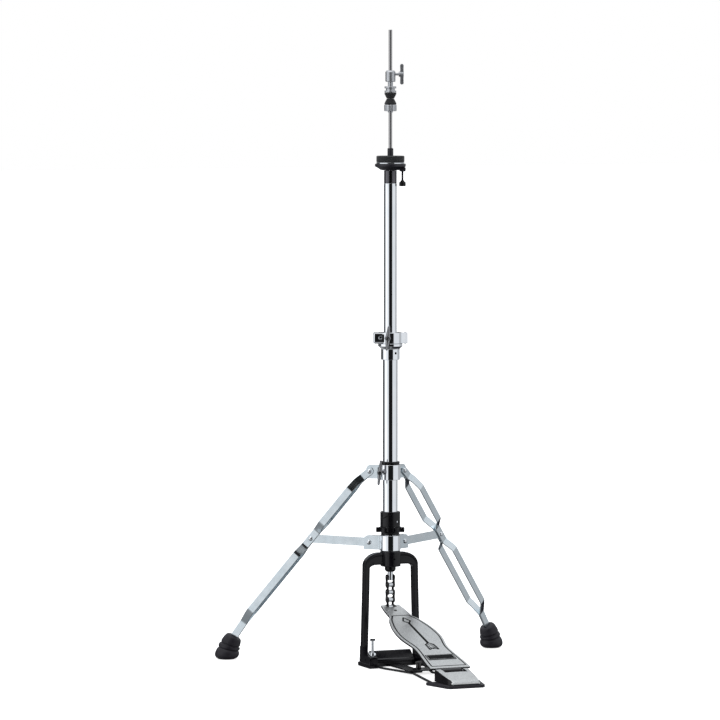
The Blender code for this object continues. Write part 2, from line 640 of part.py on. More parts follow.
def tension():
    turned("tension_housing", [(16.6 * MM, 261.7 * MM), (17 * MM, 261 * MM), (17 * MM, 235.9 * MM),
                               (TUBE_CLEAR_R, 235.9 * MM), (TUBE_CLEAR_R, 261.7 * MM)], "black_plastic",
           closed=True)
    dial = turned("tension_dial", [(18.4 * MM, 235.5 * MM), (18.4 * MM, 228.2 * MM), (15.6 * MM, 225.6 * MM),
                                   (15.6 * MM, 221.9 * MM), (TUBE_CLEAR_R, 221.9 * MM),
                                   (TUBE_CLEAR_R, 235.5 * MM)], "black_plastic", closed=True)
    for i in range(6):
        lug = box("dial_lug", (16.9 * MM, -2.6 * MM, 226.4 * MM), (24.2 * MM, 2.6 * MM, 234.8 * MM))
        place(spin(SIDE_AZIMUTH + 60 * i), lug)
        join(dial, lug)
    joint("tension_dial_axis", (0, 0, 228 * MM), dial)


# ---- tripod ------------------------------------------------------------------------------------------

def ears(name, azimuth, pivot, offsets, low, high, reach, thick):
    """Upright plates that stand out from a collar in a leg's plane and carry a pivot."""
    made = []
    chamfer = 7 * MM
    outline = [(11 * MM, low), (reach, low), (reach, high - chamfer), (reach - chamfer, high),
               (11 * MM, high)]
    hole = rod_between(name + "_hole", (pivot[0], -12 * MM, pivot[1]), (pivot[0], 12 * MM, pivot[1]),
                       RIVET_R + GAP)
    place(spin(azimuth), hole)
    for offset in offsets:
        ear = outline_plate(name, outline, thick)
        place(Matrix.Translation((0, offset, 0)) @ STAND_UP, ear)
        place(spin(azimuth), ear)
        made.append(cut(ear, hole))
    return made


def collars():
    low, high = LOWER_COLLAR
    lower = disc("leg_collar_lower", COLLAR_R, low, high, "chrome")
    upper = disc("leg_collar_upper", COLLAR_R, *UPPER_COLLAR, "chrome")
    for azimuth in LEG_AZIMUTHS.values():
        beside_strut = STRIP_THICK / 2 + 0.4 * MM + 1 * MM
        join(lower, *ears("lower_ear", azimuth, STRUT_PIVOT, (-beside_strut, beside_strut), low + 1 * MM,
                          high - 1 * MM, 46 * MM, 2 * MM))
        join(upper, *ears("upper_ear", azimuth, LEG_PIVOT, (0.0,), UPPER_COLLAR[0] + 1 * MM,
                          UPPER_COLLAR[1] - 1 * MM, 42 * MM, 2 * UPPER_EAR))
    cut(lower, disc("lower_bore", TUBE_CLEAR_R, low - 5 * MM, high + 5 * MM))
    bush_r = 14.4 * MM
    cut(upper, disc("upper_bore", bush_r + GAP, UPPER_COLLAR[0] - 5 * MM, UPPER_COLLAR[1] + 5 * MM))
    flange_low = UPPER_COLLAR[1] + GAP
    bushing = turned("collar_bushing", [(15.6 * MM, BUSHING_TOP), (15.8 * MM, BUSHING_TOP - 0.8 * MM),
                                        (15.8 * MM, flange_low), (bush_r, flange_low),
                                        (bush_r, UPPER_COLLAR[0] + 0.5 * MM),
                                        (TUBE_CLEAR_R, UPPER_COLLAR[0] + 0.5 * MM),
                                        (TUBE_CLEAR_R, BUSHING_TOP)], "black_plastic", closed=True)
    wing = collar_wing_bolt(upper)
    return lower, upper, bushing, wing


def collar_wing_bolt(upper):
    """Wing bolt that clamps the upper collar, in front of the tube's left side."""
    x, z = -17.9 * MM, 329.5 * MM
    flank = box("bolt_flank", (-22.5 * MM, -11 * MM, 321 * MM), (-15.2 * MM, 11 * MM, 338 * MM))
    hole = rod_between("bolt_hole", (x, -30 * MM, z), (x, 30 * MM, z), 2.9 * MM)
    bolt = rod_between("collar_wing_bolt", (x, -26 * MM, z), (x, 11.5 * MM, z), 2.6 * MM, "bright_steel")
    hub = rod_between("wing_hub", (x, -24 * MM, z), (x, -13 * MM, z), 4.8 * MM)
    head = rod_between("bolt_head", (x, 11.3 * MM, z), (x, 15 * MM, z), 4.8 * MM, sides=6)
    wings = wing_plate("collar_wings", 43 * MM, 3.6 * MM, 3.2 * MM, 4.6 * MM)
    tilt = Matrix.Rotation(math.radians(6), 4, "Y") @ spin(90)
    place(Matrix.Translation((x, -21.4 * MM, z)) @ tilt, wings)
    place(spin(SIDE_AZIMUTH), flank, hole, bolt, hub, head, wings)
    join(upper, flank)
    cut(upper, hole)
    join(bolt, hub, head, wings)
    return bolt


def along_main(point):
    """Distance along the leg's long straight of a point given as radius and height."""
    start, end = Vector(LEG_KNEE), Vector(LEG_ANKLE)
    return (Vector(point) - start).dot((end - start).normalized())


def offset_path(points, shift):
    """The path moved sideways, so that a strip bent along it keeps its thickness."""
    moved = []
    for i, point in enumerate(points):
        here = Vector(point)
        first = (here - Vector(points[i - 1])).normalized() if i > 0 else None
        second = (Vector(points[i + 1]) - here).normalized() if i < len(points) - 1 else first
        first = first or second
        normal = Vector((-first.y - second.y, first.x + second.x)).normalized()
        scale = 1.0 / normal.dot(Vector((-first.y, first.x)))
        moved.append(tuple(here + normal * shift * scale))
    return moved


def band_outline(points, width):
    return offset_path(points, width / 2) + list(reversed(offset_path(points, -width / 2)))


def leg_strip(name, side, azimuth):
    """A flat strip, bowed out between its three fixings and slightly bent at the head and the ankle.

    The strip's side view and its bent edge view are each a plate, and the strip is where they meet.
    """
    at_ear = UPPER_EAR + GAP + STRIP_THICK / 2
    at_strut = STRIP_THICK + GAP
    at_foot = STRIP_THICK / 2 + 0.15 * MM
    middle = along_main(MID_PIVOT)
    head, foot = along_main(LEG_PIVOT), along_main(LEG_END)
    bend = [(head - 20 * MM, at_ear), (head + 17 * MM, at_ear), (head + 43 * MM, BOW),
            (middle - 35 * MM, BOW), (middle - 17 * MM, at_strut), (middle + 17 * MM, at_strut),
            (middle + 33 * MM, BOW), (foot - 70 * MM, BOW), (foot - 43 * MM, at_foot),
            (foot + 20 * MM, at_foot)]
    strip = outline_plate(name, band_outline([(x, side * y) for x, y in bend], STRIP_THICK), 60 * MM,
                          "bright_steel")
    slope = math.atan2(LEG_ANKLE[1] - LEG_KNEE[1], LEG_ANKLE[0] - LEG_KNEE[0])
    place(Matrix.Translation((LEG_KNEE[0], 0, LEG_KNEE[1])) @ Matrix.Rotation(-slope, 4, "Y"), strip)
    heading = math.degrees(math.atan2(LEG_KNEE[1] - LEG_PIVOT[1], LEG_KNEE[0] - LEG_PIVOT[0]))
    route = [LEG_PIVOT, LEG_KNEE, LEG_ANKLE, LEG_END]
    edges = band_outline(route, STRIP_WIDTH)
    round_head = arc(LEG_PIVOT, STRIP_WIDTH / 2, heading + 270, heading + 90, 6)[1:-1]
    side_view = outline_plate(name + "_side_view", edges + round_head, 50 * MM)
    place(STAND_UP, side_view)
    outer = at_strut + STRIP_THICK / 2
    mid_rivet = rod_between(name + "_mid_rivet", (MID_PIVOT[0], side * (outer - 1 * MM), MID_PIVOT[1]),
                            (MID_PIVOT[0], side * (outer + 1.6 * MM), MID_PIVOT[1]), 4 * MM)
    hole = rod_between(name + "_hole", (LEG_PIVOT[0], -20 * MM, LEG_PIVOT[1]),
                       (LEG_PIVOT[0], 20 * MM, LEG_PIVOT[1]), RIVET_R + GAP)
    place(spin(azimuth), strip, side_view, mid_rivet, hole)
    boolean(strip, [side_view], "INTERSECT")
    join(strip, mid_rivet)
    return cut(strip, hole)


def strut(name, azimuth):
    bar = outline_plate(name, stadium(STRUT_PIVOT, MID_PIVOT, STRUT_WIDTH / 2, 6), STRIP_THICK,
                        "bright_steel")
    inner_hole = rod_between(name + "_inner_hole", (STRUT_PIVOT[0], -20 * MM, STRUT_PIVOT[1]),
                             (STRUT_PIVOT[0], 20 * MM, STRUT_PIVOT[1]), RIVET_R + GAP)
    outer_hole = rod_between(name + "_outer_hole", (MID_PIVOT[0], -20 * MM, MID_PIVOT[1]),
                             (MID_PIVOT[0], 20 * MM, MID_PIVOT[1]), RIVET_R + 1 * MM)
    place(STAND_UP, bar)
    place(spin(azimuth), bar, inner_hole, outer_hole)
    return cut(bar, inner_hole, outer_hole)


def rivet(name, azimuth, pivot, half_grip):
    head = 1.6 * MM
    pin = rod_between(name, (pivot[0], -half_grip - head, pivot[1]), (pivot[0], half_grip + head, pivot[1]),
                      RIVET_R, "bright_steel")
    for side in (-1, 1):
        cap = rod_between(name + "_head", (pivot[0], side * half_grip, pivot[1]),
                          (pivot[0], side * (half_grip + head), pivot[1]), 4.1 * MM)
        place(spin(azimuth), cap)
        join(pin, cap)
    place(spin(azimuth), pin)
    return pin


def rubber_foot(name, azimuth):
    """Boot over the leg's end with a domed sole, and a slot for the two strips."""
    levels = len(BOOT_SECTIONS) - 1
    shape = bmesh.new()
    bmesh.ops.create_cone(shape, cap_ends=True, segments=12, radius1=1.0, radius2=1.0, depth=1.0)
    for i in range(1, levels):
        bmesh.ops.bisect_plane(shape, geom=list(shape.verts) + list(shape.edges) + list(shape.faces),
                               plane_co=(0, 0, i / levels - 0.5), plane_no=(0, 0, 1))
    for vert in shape.verts:
        centre, height, half, lean = BOOT_SECTIONS[round((vert.co.z + 0.5) * levels)]
        lean = math.radians(lean)
        vert.co = Vector((centre + vert.co.x * half * math.cos(lean), vert.co.y * half * 0.93,
                          height + vert.co.x * half * math.sin(lean))) * MM
    mesh = bpy.data.meshes.new(name)
    shape.to_mesh(mesh)
    shape.free()
    boot = smooth(add_object(name, mesh, "rubber"))
    length = math.dist(LEG_ANKLE, LEG_END)
    slot = box(name + "_slot", (0, -STRIP_THICK - 0.5 * MM, -STRIP_WIDTH / 2 - GAP),
               (length + 0.4 * MM, STRIP_THICK + 0.5 * MM, STRIP_WIDTH / 2 + GAP))
    angle = math.atan2(LEG_END[1] - LEG_ANKLE[1], LEG_END[0] - LEG_ANKLE[0])
    place(Matrix.Translation((LEG_ANKLE[0], 0, LEG_ANKLE[1])) @ Matrix.Rotation(-angle, 4, "Y"), slot)
    place(spin(azimuth), boot, slot)
    return cut(boot, slot)


def tripod():
    lower, upper, bushing, wing = collars()
    swivel = joint("tripod_swivel", (0, 0, LOWER_COLLAR[0]), lower)
    slide = joint("collar_slide", (0, 0, UPPER_COLLAR[0]), upper, bushing, parent=swivel)
    joint("collar_wing_screw", (0, 0, 330 * MM), wing, parent=slide)
    for name, azimuth in LEG_AZIMUTHS.items():
        strips = [leg_strip("leg_" + name + "_" + label, side, azimuth)
                  for side, label in ((-1, "near"), (1, "far"))]
        foot = rubber_foot("foot_" + name, azimuth)
        brace = strut("strut_" + name, azimuth)
        top_rivet = rivet("leg_rivet_" + name, azimuth, LEG_PIVOT, UPPER_EAR + STRIP_THICK + 2 * GAP)
        low_rivet = rivet("strut_rivet_" + name, azimuth, STRUT_PIVOT, STRIP_THICK / 2 + 2.8 * MM)
        top = spin(azimuth) @ Vector((LEG_PIVOT[0], 0, LEG_PIVOT[1]))
        base = spin(azimuth) @ Vector((STRUT_PIVOT[0], 0, STRUT_PIVOT[1]))
        joint("leg_hinge_" + name, top, *strips, foot, parent=slide)
        joint("strut_hinge_" + name, base, brace, parent=swivel)
        top_rivet.parent = slide
        top_rivet.matrix_parent_inverse = slide.matrix_world.inverted()
        low_rivet.parent = swivel
        low_rivet.matrix_parent_inverse = swivel.matrix_world.inverted()


# ---- height lock and upper stand ---------------------------------------------------------------------

def height_lock():
    low, high = LOCK_BAND
    turned("height_receiver", [(20.7 * MM, low - GAP), (20.7 * MM, 543 * MM), (16.2 * MM, 539 * MM),
                               (15.9 * MM, 538 * MM), (15.9 * MM, 520.1 * MM), (TUBE_CLEAR_R, 520.1 * MM),
                               (TUBE_CLEAR_R, low - GAP)], "chrome", closed=True)
    ring("height_bushing", 13.0 * MM, UPPER_TUBE_R + GAP, BASE_TUBE_TOP + GAP, high - 0.5 * MM,
         "black_plastic")
    band = disc("height_clamp_band", 20.0 * MM, low, high, "chrome")
    barrel = rod_between("hinge_barrel", (25.5 * MM, 0, low), (25.5 * MM, 0, high), 3.8 * MM)
    barrel_web = box("barrel_web", (15 * MM, -3 * MM, low), (26 * MM, 0, high))
    lug_front = box("lug_front", (-29 * MM, -17 * MM, low), (-4 * MM, -3.2 * MM, high))
    lug_rear = box("lug_rear", (-29 * MM, 3.2 * MM, low), (-4 * MM, 15 * MM, high))
    bore = disc("band_bore", 13.0 * MM + GAP, low - 5 * MM, high + 5 * MM)
    split = box("band_split", (-40 * MM, -2 * MM, low - 5 * MM), (-8 * MM, 2 * MM, high + 5 * MM))
    nut_y = -22 * MM
    nut_z = 557.5 * MM
    stud_x = -4.6 * MM
    stud_hole = rod_between("stud_hole", (stud_x, -40 * MM, nut_z), (stud_x, -14.2 * MM, nut_z), 2.9 * MM)
    nut = rod_between("height_wing_nut", (stud_x, nut_y - 7 * MM, nut_z), (stud_x, nut_y, nut_z), 5.2 * MM,
                      "bright_steel")
    stud = rod_between("stud", (stud_x, nut_y - 6 * MM, nut_z), (stud_x, -15 * MM, nut_z), 2.5 * MM)
    wings = wing_plate("height_wings", 42 * MM, 3.4 * MM, 3.0 * MM, 4.4 * MM)
    place(Matrix.Translation((stud_x, nut_y - 3.5 * MM, nut_z)) @ Matrix.Rotation(math.radians(5), 4, "Y")
          @ spin(90), wings)
    place(spin(SIDE_AZIMUTH), band, barrel, barrel_web, lug_front, lug_rear, bore, split, stud_hole,
          nut, stud, wings)
    join(band, barrel, barrel_web, lug_front, lug_rear)
    cut(band, bore, split, stud_hole)
    join(nut, stud, wings)
    joint("height_wing_screw", spin(SIDE_AZIMUTH) @ Vector((stud_x, nut_y, nut_z)), nut)


def upper_stand():
    tube = ring("upper_tube", UPPER_TUBE_R, UPPER_TUBE_BORE, UPPER_TUBE_BOTTOM, UPPER_TUBE_TOP, "chrome")
    rod_clear = PULL_ROD_R + 1.2 * MM
    neck_low = UPPER_TUBE_TOP + GAP
    spigot_r = UPPER_TUBE_BORE - GAP
    spigot_low = neck_low - 18 * MM
    neck = turned("tilter_neck", [(10.8 * MM, NECK_TOP), (10.8 * MM, neck_low), (spigot_r, neck_low),
                                  (spigot_r, spigot_low), (rod_clear, spigot_low), (rod_clear, NECK_TOP)],
                  "black_plastic", closed=True)
    slide = joint("height_slide", (0, 0, UPPER_TUBE_BOTTOM), tube, neck)
    rod_hole = PULL_ROD_R + 1.35 * MM
    cup_low = NECK_TOP + 1.2 * MM
    cup = turned("seat_cup", [(26 * MM, 851.4 * MM), (26 * MM, 846.4 * MM), (18 * MM, cup_low),
                              (rod_hole, cup_low), (rod_hole, 851.4 * MM)], "black_plastic", closed=True)
    lug = box("tilt_lug", (15 * MM, -5.5 * MM, 838.5 * MM), (26 * MM, 5.5 * MM, 846 * MM))
    lug_bore = rod_between("tilt_lug_bore", (TILT_SCREW_X, 0, 830 * MM), (TILT_SCREW_X, 0, 848.5 * MM),
                           2.1 * MM)
    washer = ring("seat_washer", 23.7 * MM, rod_hole, 851.7 * MM, 853.7 * MM, "bright_steel")
    felt = ring("seat_felt", 23.7 * MM, 5.3 * MM, 854.0 * MM, 864.9 * MM, "felt")
    sleeve = ring("seat_sleeve", 4.95 * MM, rod_hole, 854.0 * MM, 877.8 * MM, "black_plastic", SMALL_ROUND)
    screw = turned("tilt_screw", [(0, 846.5 * MM), (1.8 * MM, 846.5 * MM), (1.8 * MM, 823.5 * MM),
                                  (5.8 * MM, 820.5 * MM), (5.8 * MM, 813.5 * MM), (0, 813.5 * MM)],
                   "black_plastic", 12)
    place(Matrix.Translation((TILT_SCREW_X, 0, 0)), screw)
    place(spin(SIDE_AZIMUTH), cup, lug, lug_bore, washer, felt, sleeve, screw)
    join(cup, lug)
    cut(cup, lug_bore)
    tilt = joint("cup_tilt", (0, 0, CUP_PIVOT_Z), cup, washer, felt, sleeve, parent=slide)
    joint("tilt_screw_axis", spin(SIDE_AZIMUTH) @ Vector((TILT_SCREW_X, 0, 0)), screw, parent=tilt)


# ---- clutch ------------------------------------------------------------------------------------------

def clutch(rod_joint):
    low, high = CLUTCH_BODY
    bore = PULL_ROD_R + GAP
    tube = CLUTCH_TUBE_R
    body = turned("clutch_body", [(6.6 * MM, high), (8.5 * MM, high - 2.2 * MM), (8.5 * MM, low),
                                  (tube, low), (tube, 938 * MM), (bore, 938 * MM), (bore, high)],
                  "chrome", 16, closed=True)
    screw_z = 1002.5 * MM
    hole = rod_between("wing_screw_hole", (3.8 * MM, 0, screw_z), (14 * MM, 0, screw_z), 2.6 * MM)
    screw = rod_between("clutch_wing_screw", (4.4 * MM, 0, screw_z), (20 * MM, 0, screw_z), 2.2 * MM,
                        "bright_steel")
    hub = rod_between("screw_hub", (14 * MM, 0, screw_z), (22.5 * MM, 0, screw_z), 4.4 * MM)
    wings = wing_plate("screw_wings", 35 * MM, 3.2 * MM, 2.9 * MM, 2.9 * MM)
    place(Matrix.Translation((19.3 * MM, 0, screw_z)), wings)
    place(spin(SIDE_AZIMUTH), body, hole, screw, hub, wings)
    cut(body, hole)
    join(screw, hub, wings)
    clear = tube + GAP
    nuts = turned("clutch_upper_nuts", [(10 * MM, 982 * MM), (10 * MM, 979 * MM), (7.5 * MM, 978.2 * MM),
                                        (7.5 * MM, 975.4 * MM), (10 * MM, 974.6 * MM), (10 * MM, 971.8 * MM),
                                        (clear, 971.8 * MM), (clear, 982 * MM)], "chrome", 16, closed=True)
    upper_felt = turned("clutch_felt_upper", [(10 * MM, 971.5 * MM), (10 * MM, 969 * MM),
                                              (6.2 * MM, 961.6 * MM), (clear, 961.6 * MM),
                                              (clear, 971.5 * MM)], "felt", 16, closed=True)
    lower_felt = turned("clutch_felt_lower", [(6.2 * MM, 961.3 * MM), (10 * MM, 953.7 * MM),
                                              (10 * MM, 951.2 * MM), (clear, 951.2 * MM),
                                              (clear, 961.3 * MM)], "felt", 16, closed=True)
    lower_nut = turned("clutch_lower_nut", [(10.5 * MM, 950.9 * MM), (10.5 * MM, 941 * MM),
                                            (9.8 * MM, 940.3 * MM), (clear, 940.3 * MM),
                                            (clear, 950.9 * MM)], "chrome", 16, closed=True)
    slide = joint("clutch_slide", (0, 0, low), body, nuts, upper_felt, lower_felt, parent=rod_joint)
    joint("clutch_wing_axis", (0, 0, screw_z), screw, parent=slide)
    joint("clutch_nut_axis", (0, 0, 945 * MM), lower_nut, parent=slide)


def build():
    ring("base_tube", BASE_TUBE_R, BASE_TUBE_BORE, BASE_TUBE_BOTTOM, BASE_TUBE_TOP, "chrome")
    u_frame()
    frame_base()
    spur(-1, "left")
    spur(1, "right")
    radius_rods()
    rod_clamp()
    heel()
    footboard()
    rod_joint = pull_rod()
    chain(rod_joint)
    tension()
    tripod()
    height_lock()
    upper_stand()
    clutch(rod_joint)


build()
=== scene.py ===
"""Hi-hat stand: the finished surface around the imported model.

Lengths are in millimetres times MM. Shapes are built from closed shells: a loft between rings of points.
"""
import math

import bmesh
import bpy
from mathutils import Matrix, Vector


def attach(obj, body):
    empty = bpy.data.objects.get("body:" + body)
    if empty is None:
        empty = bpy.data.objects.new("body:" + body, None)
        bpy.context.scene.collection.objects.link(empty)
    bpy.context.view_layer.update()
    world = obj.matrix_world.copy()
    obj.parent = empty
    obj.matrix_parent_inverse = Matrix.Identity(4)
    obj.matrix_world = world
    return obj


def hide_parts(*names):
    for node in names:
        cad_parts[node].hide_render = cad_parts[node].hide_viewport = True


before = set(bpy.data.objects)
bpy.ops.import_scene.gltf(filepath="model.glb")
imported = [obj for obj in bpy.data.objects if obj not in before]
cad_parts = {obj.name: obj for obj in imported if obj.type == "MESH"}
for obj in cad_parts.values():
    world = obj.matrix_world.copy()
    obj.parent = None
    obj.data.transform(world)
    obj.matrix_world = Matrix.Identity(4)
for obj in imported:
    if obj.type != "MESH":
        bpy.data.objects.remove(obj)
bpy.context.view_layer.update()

MM = 0.001
SIDES = ((-1, "left"), (1, "right"))
# degrees about Z: the parts that face the camera, and the legs
SIDE_AZIMUTH = -22.5
LEG_AZIMUTHS = {"left": 142.9, "right": 29.4}
BOARD_SLOPE = 16.36
BOARD_HINGE = Vector((0.0, -262.0, 20.5))
SPUR_X, SPUR_Y = 45, -30
ROD_BOLT = (4, -113)
CHAIN_TOP, CHAIN_PITCH, PIN_HOLE = 149.4, 12.7, 2.28


# ---- materials ----

LOOKS = {}


def add(tree, kind, **values):
    """A new node. A value goes to the node's own attribute of that name, or else to its input."""
    node = tree.nodes.new(kind)
    for name, value in values.items():
        if hasattr(node, name):
            setattr(node, name, value)
        else:
            node.inputs[name.replace("_", " ")].default_value = value
    return node


def plug(tree, value, target):
    """Feed an input from another node's socket, or set it to a plain value."""
    if isinstance(value, bpy.types.NodeSocket):
        tree.links.new(value, target)
    else:
        target.default_value = value


def blend(tree, factor, first, second, blend_type="MIX"):
    """A mix of two colours. A mix node has sockets for each type of data, so its colours are picked out."""
    node = add(tree, "ShaderNodeMix", data_type="RGBA", blend_type=blend_type)
    colours = [s for s in node.inputs if s.type == "RGBA"]
    for value, target in zip((factor, first, second), [node.inputs["Factor"]] + colours):
        plug(tree, value, target)
    return [s for s in node.outputs if s.type == "RGBA"][0]


def between(tree, value, low, high, **kind):
    """Where a value lies from low to high, as 0 to 1 unless To_Min and To_Max say otherwise."""
    node = add(tree, "ShaderNodeMapRange", From_Min=low, From_Max=high, **kind)
    tree.links.new(value, node.inputs["Value"])
    return node.outputs["Result"]


def noise(tree, coords, scale, detail, stretch, low=0.0, high=1.0):
    """A number that wanders between low and high over the surface."""
    mapping = add(tree, "ShaderNodeMapping", Scale=stretch)
    grain = add(tree, "ShaderNodeTexNoise", Scale=scale, Detail=detail)
    tree.links.new(coords, mapping.inputs["Vector"])
    tree.links.new(mapping.outputs["Vector"], grain.inputs["Vector"])
    return between(tree, grain.outputs["Fac"], 0.3, 0.7, To_Min=low, To_Max=high)


def make_look(name, dark, light, metallic, rough, tone=(40.0, 3.0), grain=(), stretch=(1, 1, 1), **extra):
    """Colour and roughness that vary a little, over a fine bump.

    rough is the low and high roughness, tone the scale and detail of the colour change, and grain is a list
    of (scale, detail, strength, distance in mm) bumps.
    """
    material = bpy.data.materials.new("finish_" + name)
    material.use_nodes = True
    LOOKS[name] = material
    tree = material.node_tree
    coords = add(tree, "ShaderNodeTexCoord").outputs["Object"]
    inputs = tree.nodes["Principled BSDF"].inputs
    inputs["Metallic"].default_value = metallic
    for socket, value in extra.items():
        inputs[socket.replace("_", " ")].default_value = value
    change = noise(tree, coords, *tone, stretch)
    tree.links.new(blend(tree, change, (*dark, 1), (*light, 1)), inputs["Base Color"])
    tree.links.new(noise(tree, coords, 90.0, 4.0, stretch, *rough), inputs["Roughness"])
    normal = None
    for scale, detail, strength, distance in grain:
        bump = add(tree, "ShaderNodeBump", Strength=strength, Distance=distance * MM)
        tree.links.new(noise(tree, coords, scale, detail, stretch), bump.inputs["Height"])
        if normal:
            tree.links.new(normal, bump.inputs["Normal"])
        normal = bump.outputs["Normal"]
    if normal:
        tree.links.new(normal, inputs["Normal"])


make_look("chrome", (0.80, 0.82, 0.85), (0.86, 0.87, 0.89), 1.0, (0.03, 0.06), grain=[(200, 1, 0.01, 0.01)])
make_look("zinc", (0.68, 0.75, 0.79), (0.75, 0.80, 0.83), 1.0, (0.14, 0.22), (60.0, 5.0),
          grain=[(1500, 3, 0.12, 0.02), (120, 2, 0.05, 0.05)])
make_look("bright_steel", (0.66, 0.68, 0.71), (0.76, 0.78, 0.80), 1.0, (0.08, 0.15),
          grain=[(1200, 3, 0.08, 0.02)])
make_look("satin_steel", (0.46, 0.47, 0.49), (0.54, 0.55, 0.57), 1.0, (0.36, 0.44),
          grain=[(1200, 3, 0.10, 0.02)])
make_look("grey_steel", (0.24, 0.24, 0.25), (0.32, 0.32, 0.33), 1.0, (0.20, 0.30),
          grain=[(1200, 3, 0.08, 0.02)])
make_look("rod_steel", (0.38, 0.37, 0.37), (0.42, 0.41, 0.41), 1.0, (0.14, 0.18), (20.0, 2.0),
          stretch=(1, 1, 0.1))
make_look("cast_silver", (0.46, 0.47, 0.47), (0.78, 0.79, 0.79), 0.85, (0.30, 0.40), (700.0, 2.0),
          grain=[(1900, 2, 0.35, 0.06), (70, 4, 0.10, 0.25)])
make_look("black_casting", (0.0035, 0.003, 0.005), (0.006, 0.005, 0.008), 0.0, (0.18, 0.28),
          grain=[(650, 3, 0.20, 0.05)], Specular_IOR_Level=0.30)
make_look("black_plastic", (0.0035, 0.003, 0.004), (0.006, 0.005, 0.007), 0.0, (0.20, 0.30),
          grain=[(1100, 3, 0.15, 0.03)], Specular_IOR_Level=0.30)
# the black plastic again, several times lighter: painted light on the seat cup and sleeve, which the lamps
# light from above
make_look("black_plastic_with_painted_light", (0.018, 0.017, 0.022), (0.028, 0.026, 0.034), 0.0, (0.32, 0.42),
          grain=[(1100, 3, 0.15, 0.03)], Specular_IOR_Level=0.4)
make_look("black_nickel", (0.10, 0.096, 0.105), (0.14, 0.134, 0.145), 1.0, (0.16, 0.24),
          grain=[(900, 3, 0.08, 0.02)])
make_look("rubber", (0.015, 0.013, 0.019), (0.024, 0.021, 0.029), 0.0, (0.40, 0.55),
          grain=[(500, 5, 0.30, 0.10)], Specular_IOR_Level=0.35)
make_look("felt", (0.018, 0.018, 0.019), (0.050, 0.050, 0.052), 0.0, (0.92, 1.0), (700.0, 6.0),
          grain=[(900, 8, 0.9, 0.35), (240, 4, 0.5, 0.6)], Sheen_Weight=0.25, Specular_IOR_Level=0.15)
make_look("dark_steel", (0.045, 0.044, 0.045), (0.085, 0.082, 0.080), 1.0, (0.28, 0.42),
          grain=[(1400, 3, 0.2, 0.03)])
make_look("enamel", (0.004, 0.004, 0.005), (0.008, 0.008, 0.009), 0.0, (0.16, 0.24),
          grain=[(800, 2, 0.05, 0.02)], Specular_IOR_Level=0.5)
# near-black with almost no reflection: the print on the board, and painted shade in the board's groove, the
# heel's slot, the receiver's hole and the wing nut's bore
make_look("ink", (0.003, 0.003, 0.004), (0.006, 0.006, 0.007), 0.0, (0.55, 0.70),
          grain=[(800, 2, 0.05, 0.02)], Specular_IOR_Level=0.08)


# ---- shells ----

def loft(rings, loop=False, capped=True):
    """A closed shell over rings of the same number of points. Rings that shrink to a point need no cap."""
    count = len(rings[0])
    faces = []
    for i in range(len(rings) if loop else len(rings) - 1):
        a, b = i * count, (i + 1) % len(rings) * count
        for j in range(count):
            k = (j + 1) % count
            faces.append((a + j, a + k, b + k, b + j))
    if capped and not loop:
        faces += [tuple(range(count)), tuple(range((len(rings) - 1) * count, len(rings) * count))]
    return [Vector(p) for ring in rings for p in ring], faces


def moved(shell, matrix):
    """The shell under a matrix, or as it is if there is none."""
    return ([matrix @ v for v in shell[0]], shell[1]) if matrix else shell


def spin(angle, axis="Z"):
    return Matrix.Rotation(math.radians(angle), 4, axis)


def shift(x, y, z):
    return Matrix.Translation((x, y, z))


STAND_UP = spin(90, "X")
FACE_X = spin(90) @ STAND_UP
FACE_Y = spin(90, "Y")
SIDE = spin(SIDE_AZIMUTH)


def circle(radius, z, sides):
    """Points round Z at one radius, or at a radius from a list for each."""
    radii = radius if isinstance(radius, list) else [radius] * sides
    return [(r * math.cos(math.tau * i / sides), r * math.sin(math.tau * i / sides), z)
            for i, r in enumerate(radii)]


def arc(centre, radius, start, end, count):
    steps = [math.radians(start + (end - start) * i / count) for i in range(count + 1)]
    return [(centre[0] + radius * math.cos(a), centre[1] + radius * math.sin(a)) for a in steps]


def rounded(points, radius=0, closed=True, steps=4):
    """A polygon with each corner rounded by its own third value, or by radius."""
    out = []
    last = len(points) - 1
    for i, point in enumerate(points):
        r = point[2] if len(point) > 2 else radius
        here = Vector(point[:2])
        if r <= 0 or (not closed and i in (0, last)):
            out.append(tuple(here))
            continue
        before = Vector(points[i - 1][:2]) - here
        after = Vector(points[(i + 1) % len(points)][:2]) - here
        angle = before.angle(after)
        if angle > math.pi - 0.02 or angle < 0.02:
            out.append(tuple(here))
            continue
        cut = min(r / math.tan(angle / 2), 0.49 * before.length, 0.49 * after.length)
        real = cut * math.tan(angle / 2)
        before.normalize()
        after.normalize()
        centre = here + (before + after).normalized() * (real / math.sin(angle / 2))
        first = here + before * cut - centre
        second = here + after * cut - centre
        start = math.atan2(first.y, first.x)
        turn = (math.atan2(second.y, second.x) - start + math.pi) % math.tau - math.pi
        for k in range(steps + 1):
            a = start + turn * k / steps
            out.append((centre.x + real * math.cos(a), centre.y + real * math.sin(a)))
    return out


def grow(outline, distance):
    """The outline moved outward, or inward if distance is negative."""
    count = len(outline)
    area = sum(outline[i - 1][0] * outline[i][1] - outline[i][0] * outline[i - 1][1] for i in range(count))
    sign = 1 if area > 0 else -1.0
    out = []
    for i in range(count):
        here = Vector(outline[i])
        first = here - Vector(outline[i - 1])
        second = Vector(outline[(i + 1) % count]) - here
        first = first.normalized() if first.length > 1e-9 else second.normalized()
        second = second.normalized() if second.length > 1e-9 else first
        normal = Vector((first.y + second.y, -first.x - second.x)) * sign
        if normal.length < 1e-6:
            normal = Vector((first.y, -first.x)) * sign
        normal.normalize()
        scale = 1 / max(0.5, normal.dot(Vector((first.y, -first.x)) * sign))
        out.append(tuple(here + normal * distance * scale))
    return out


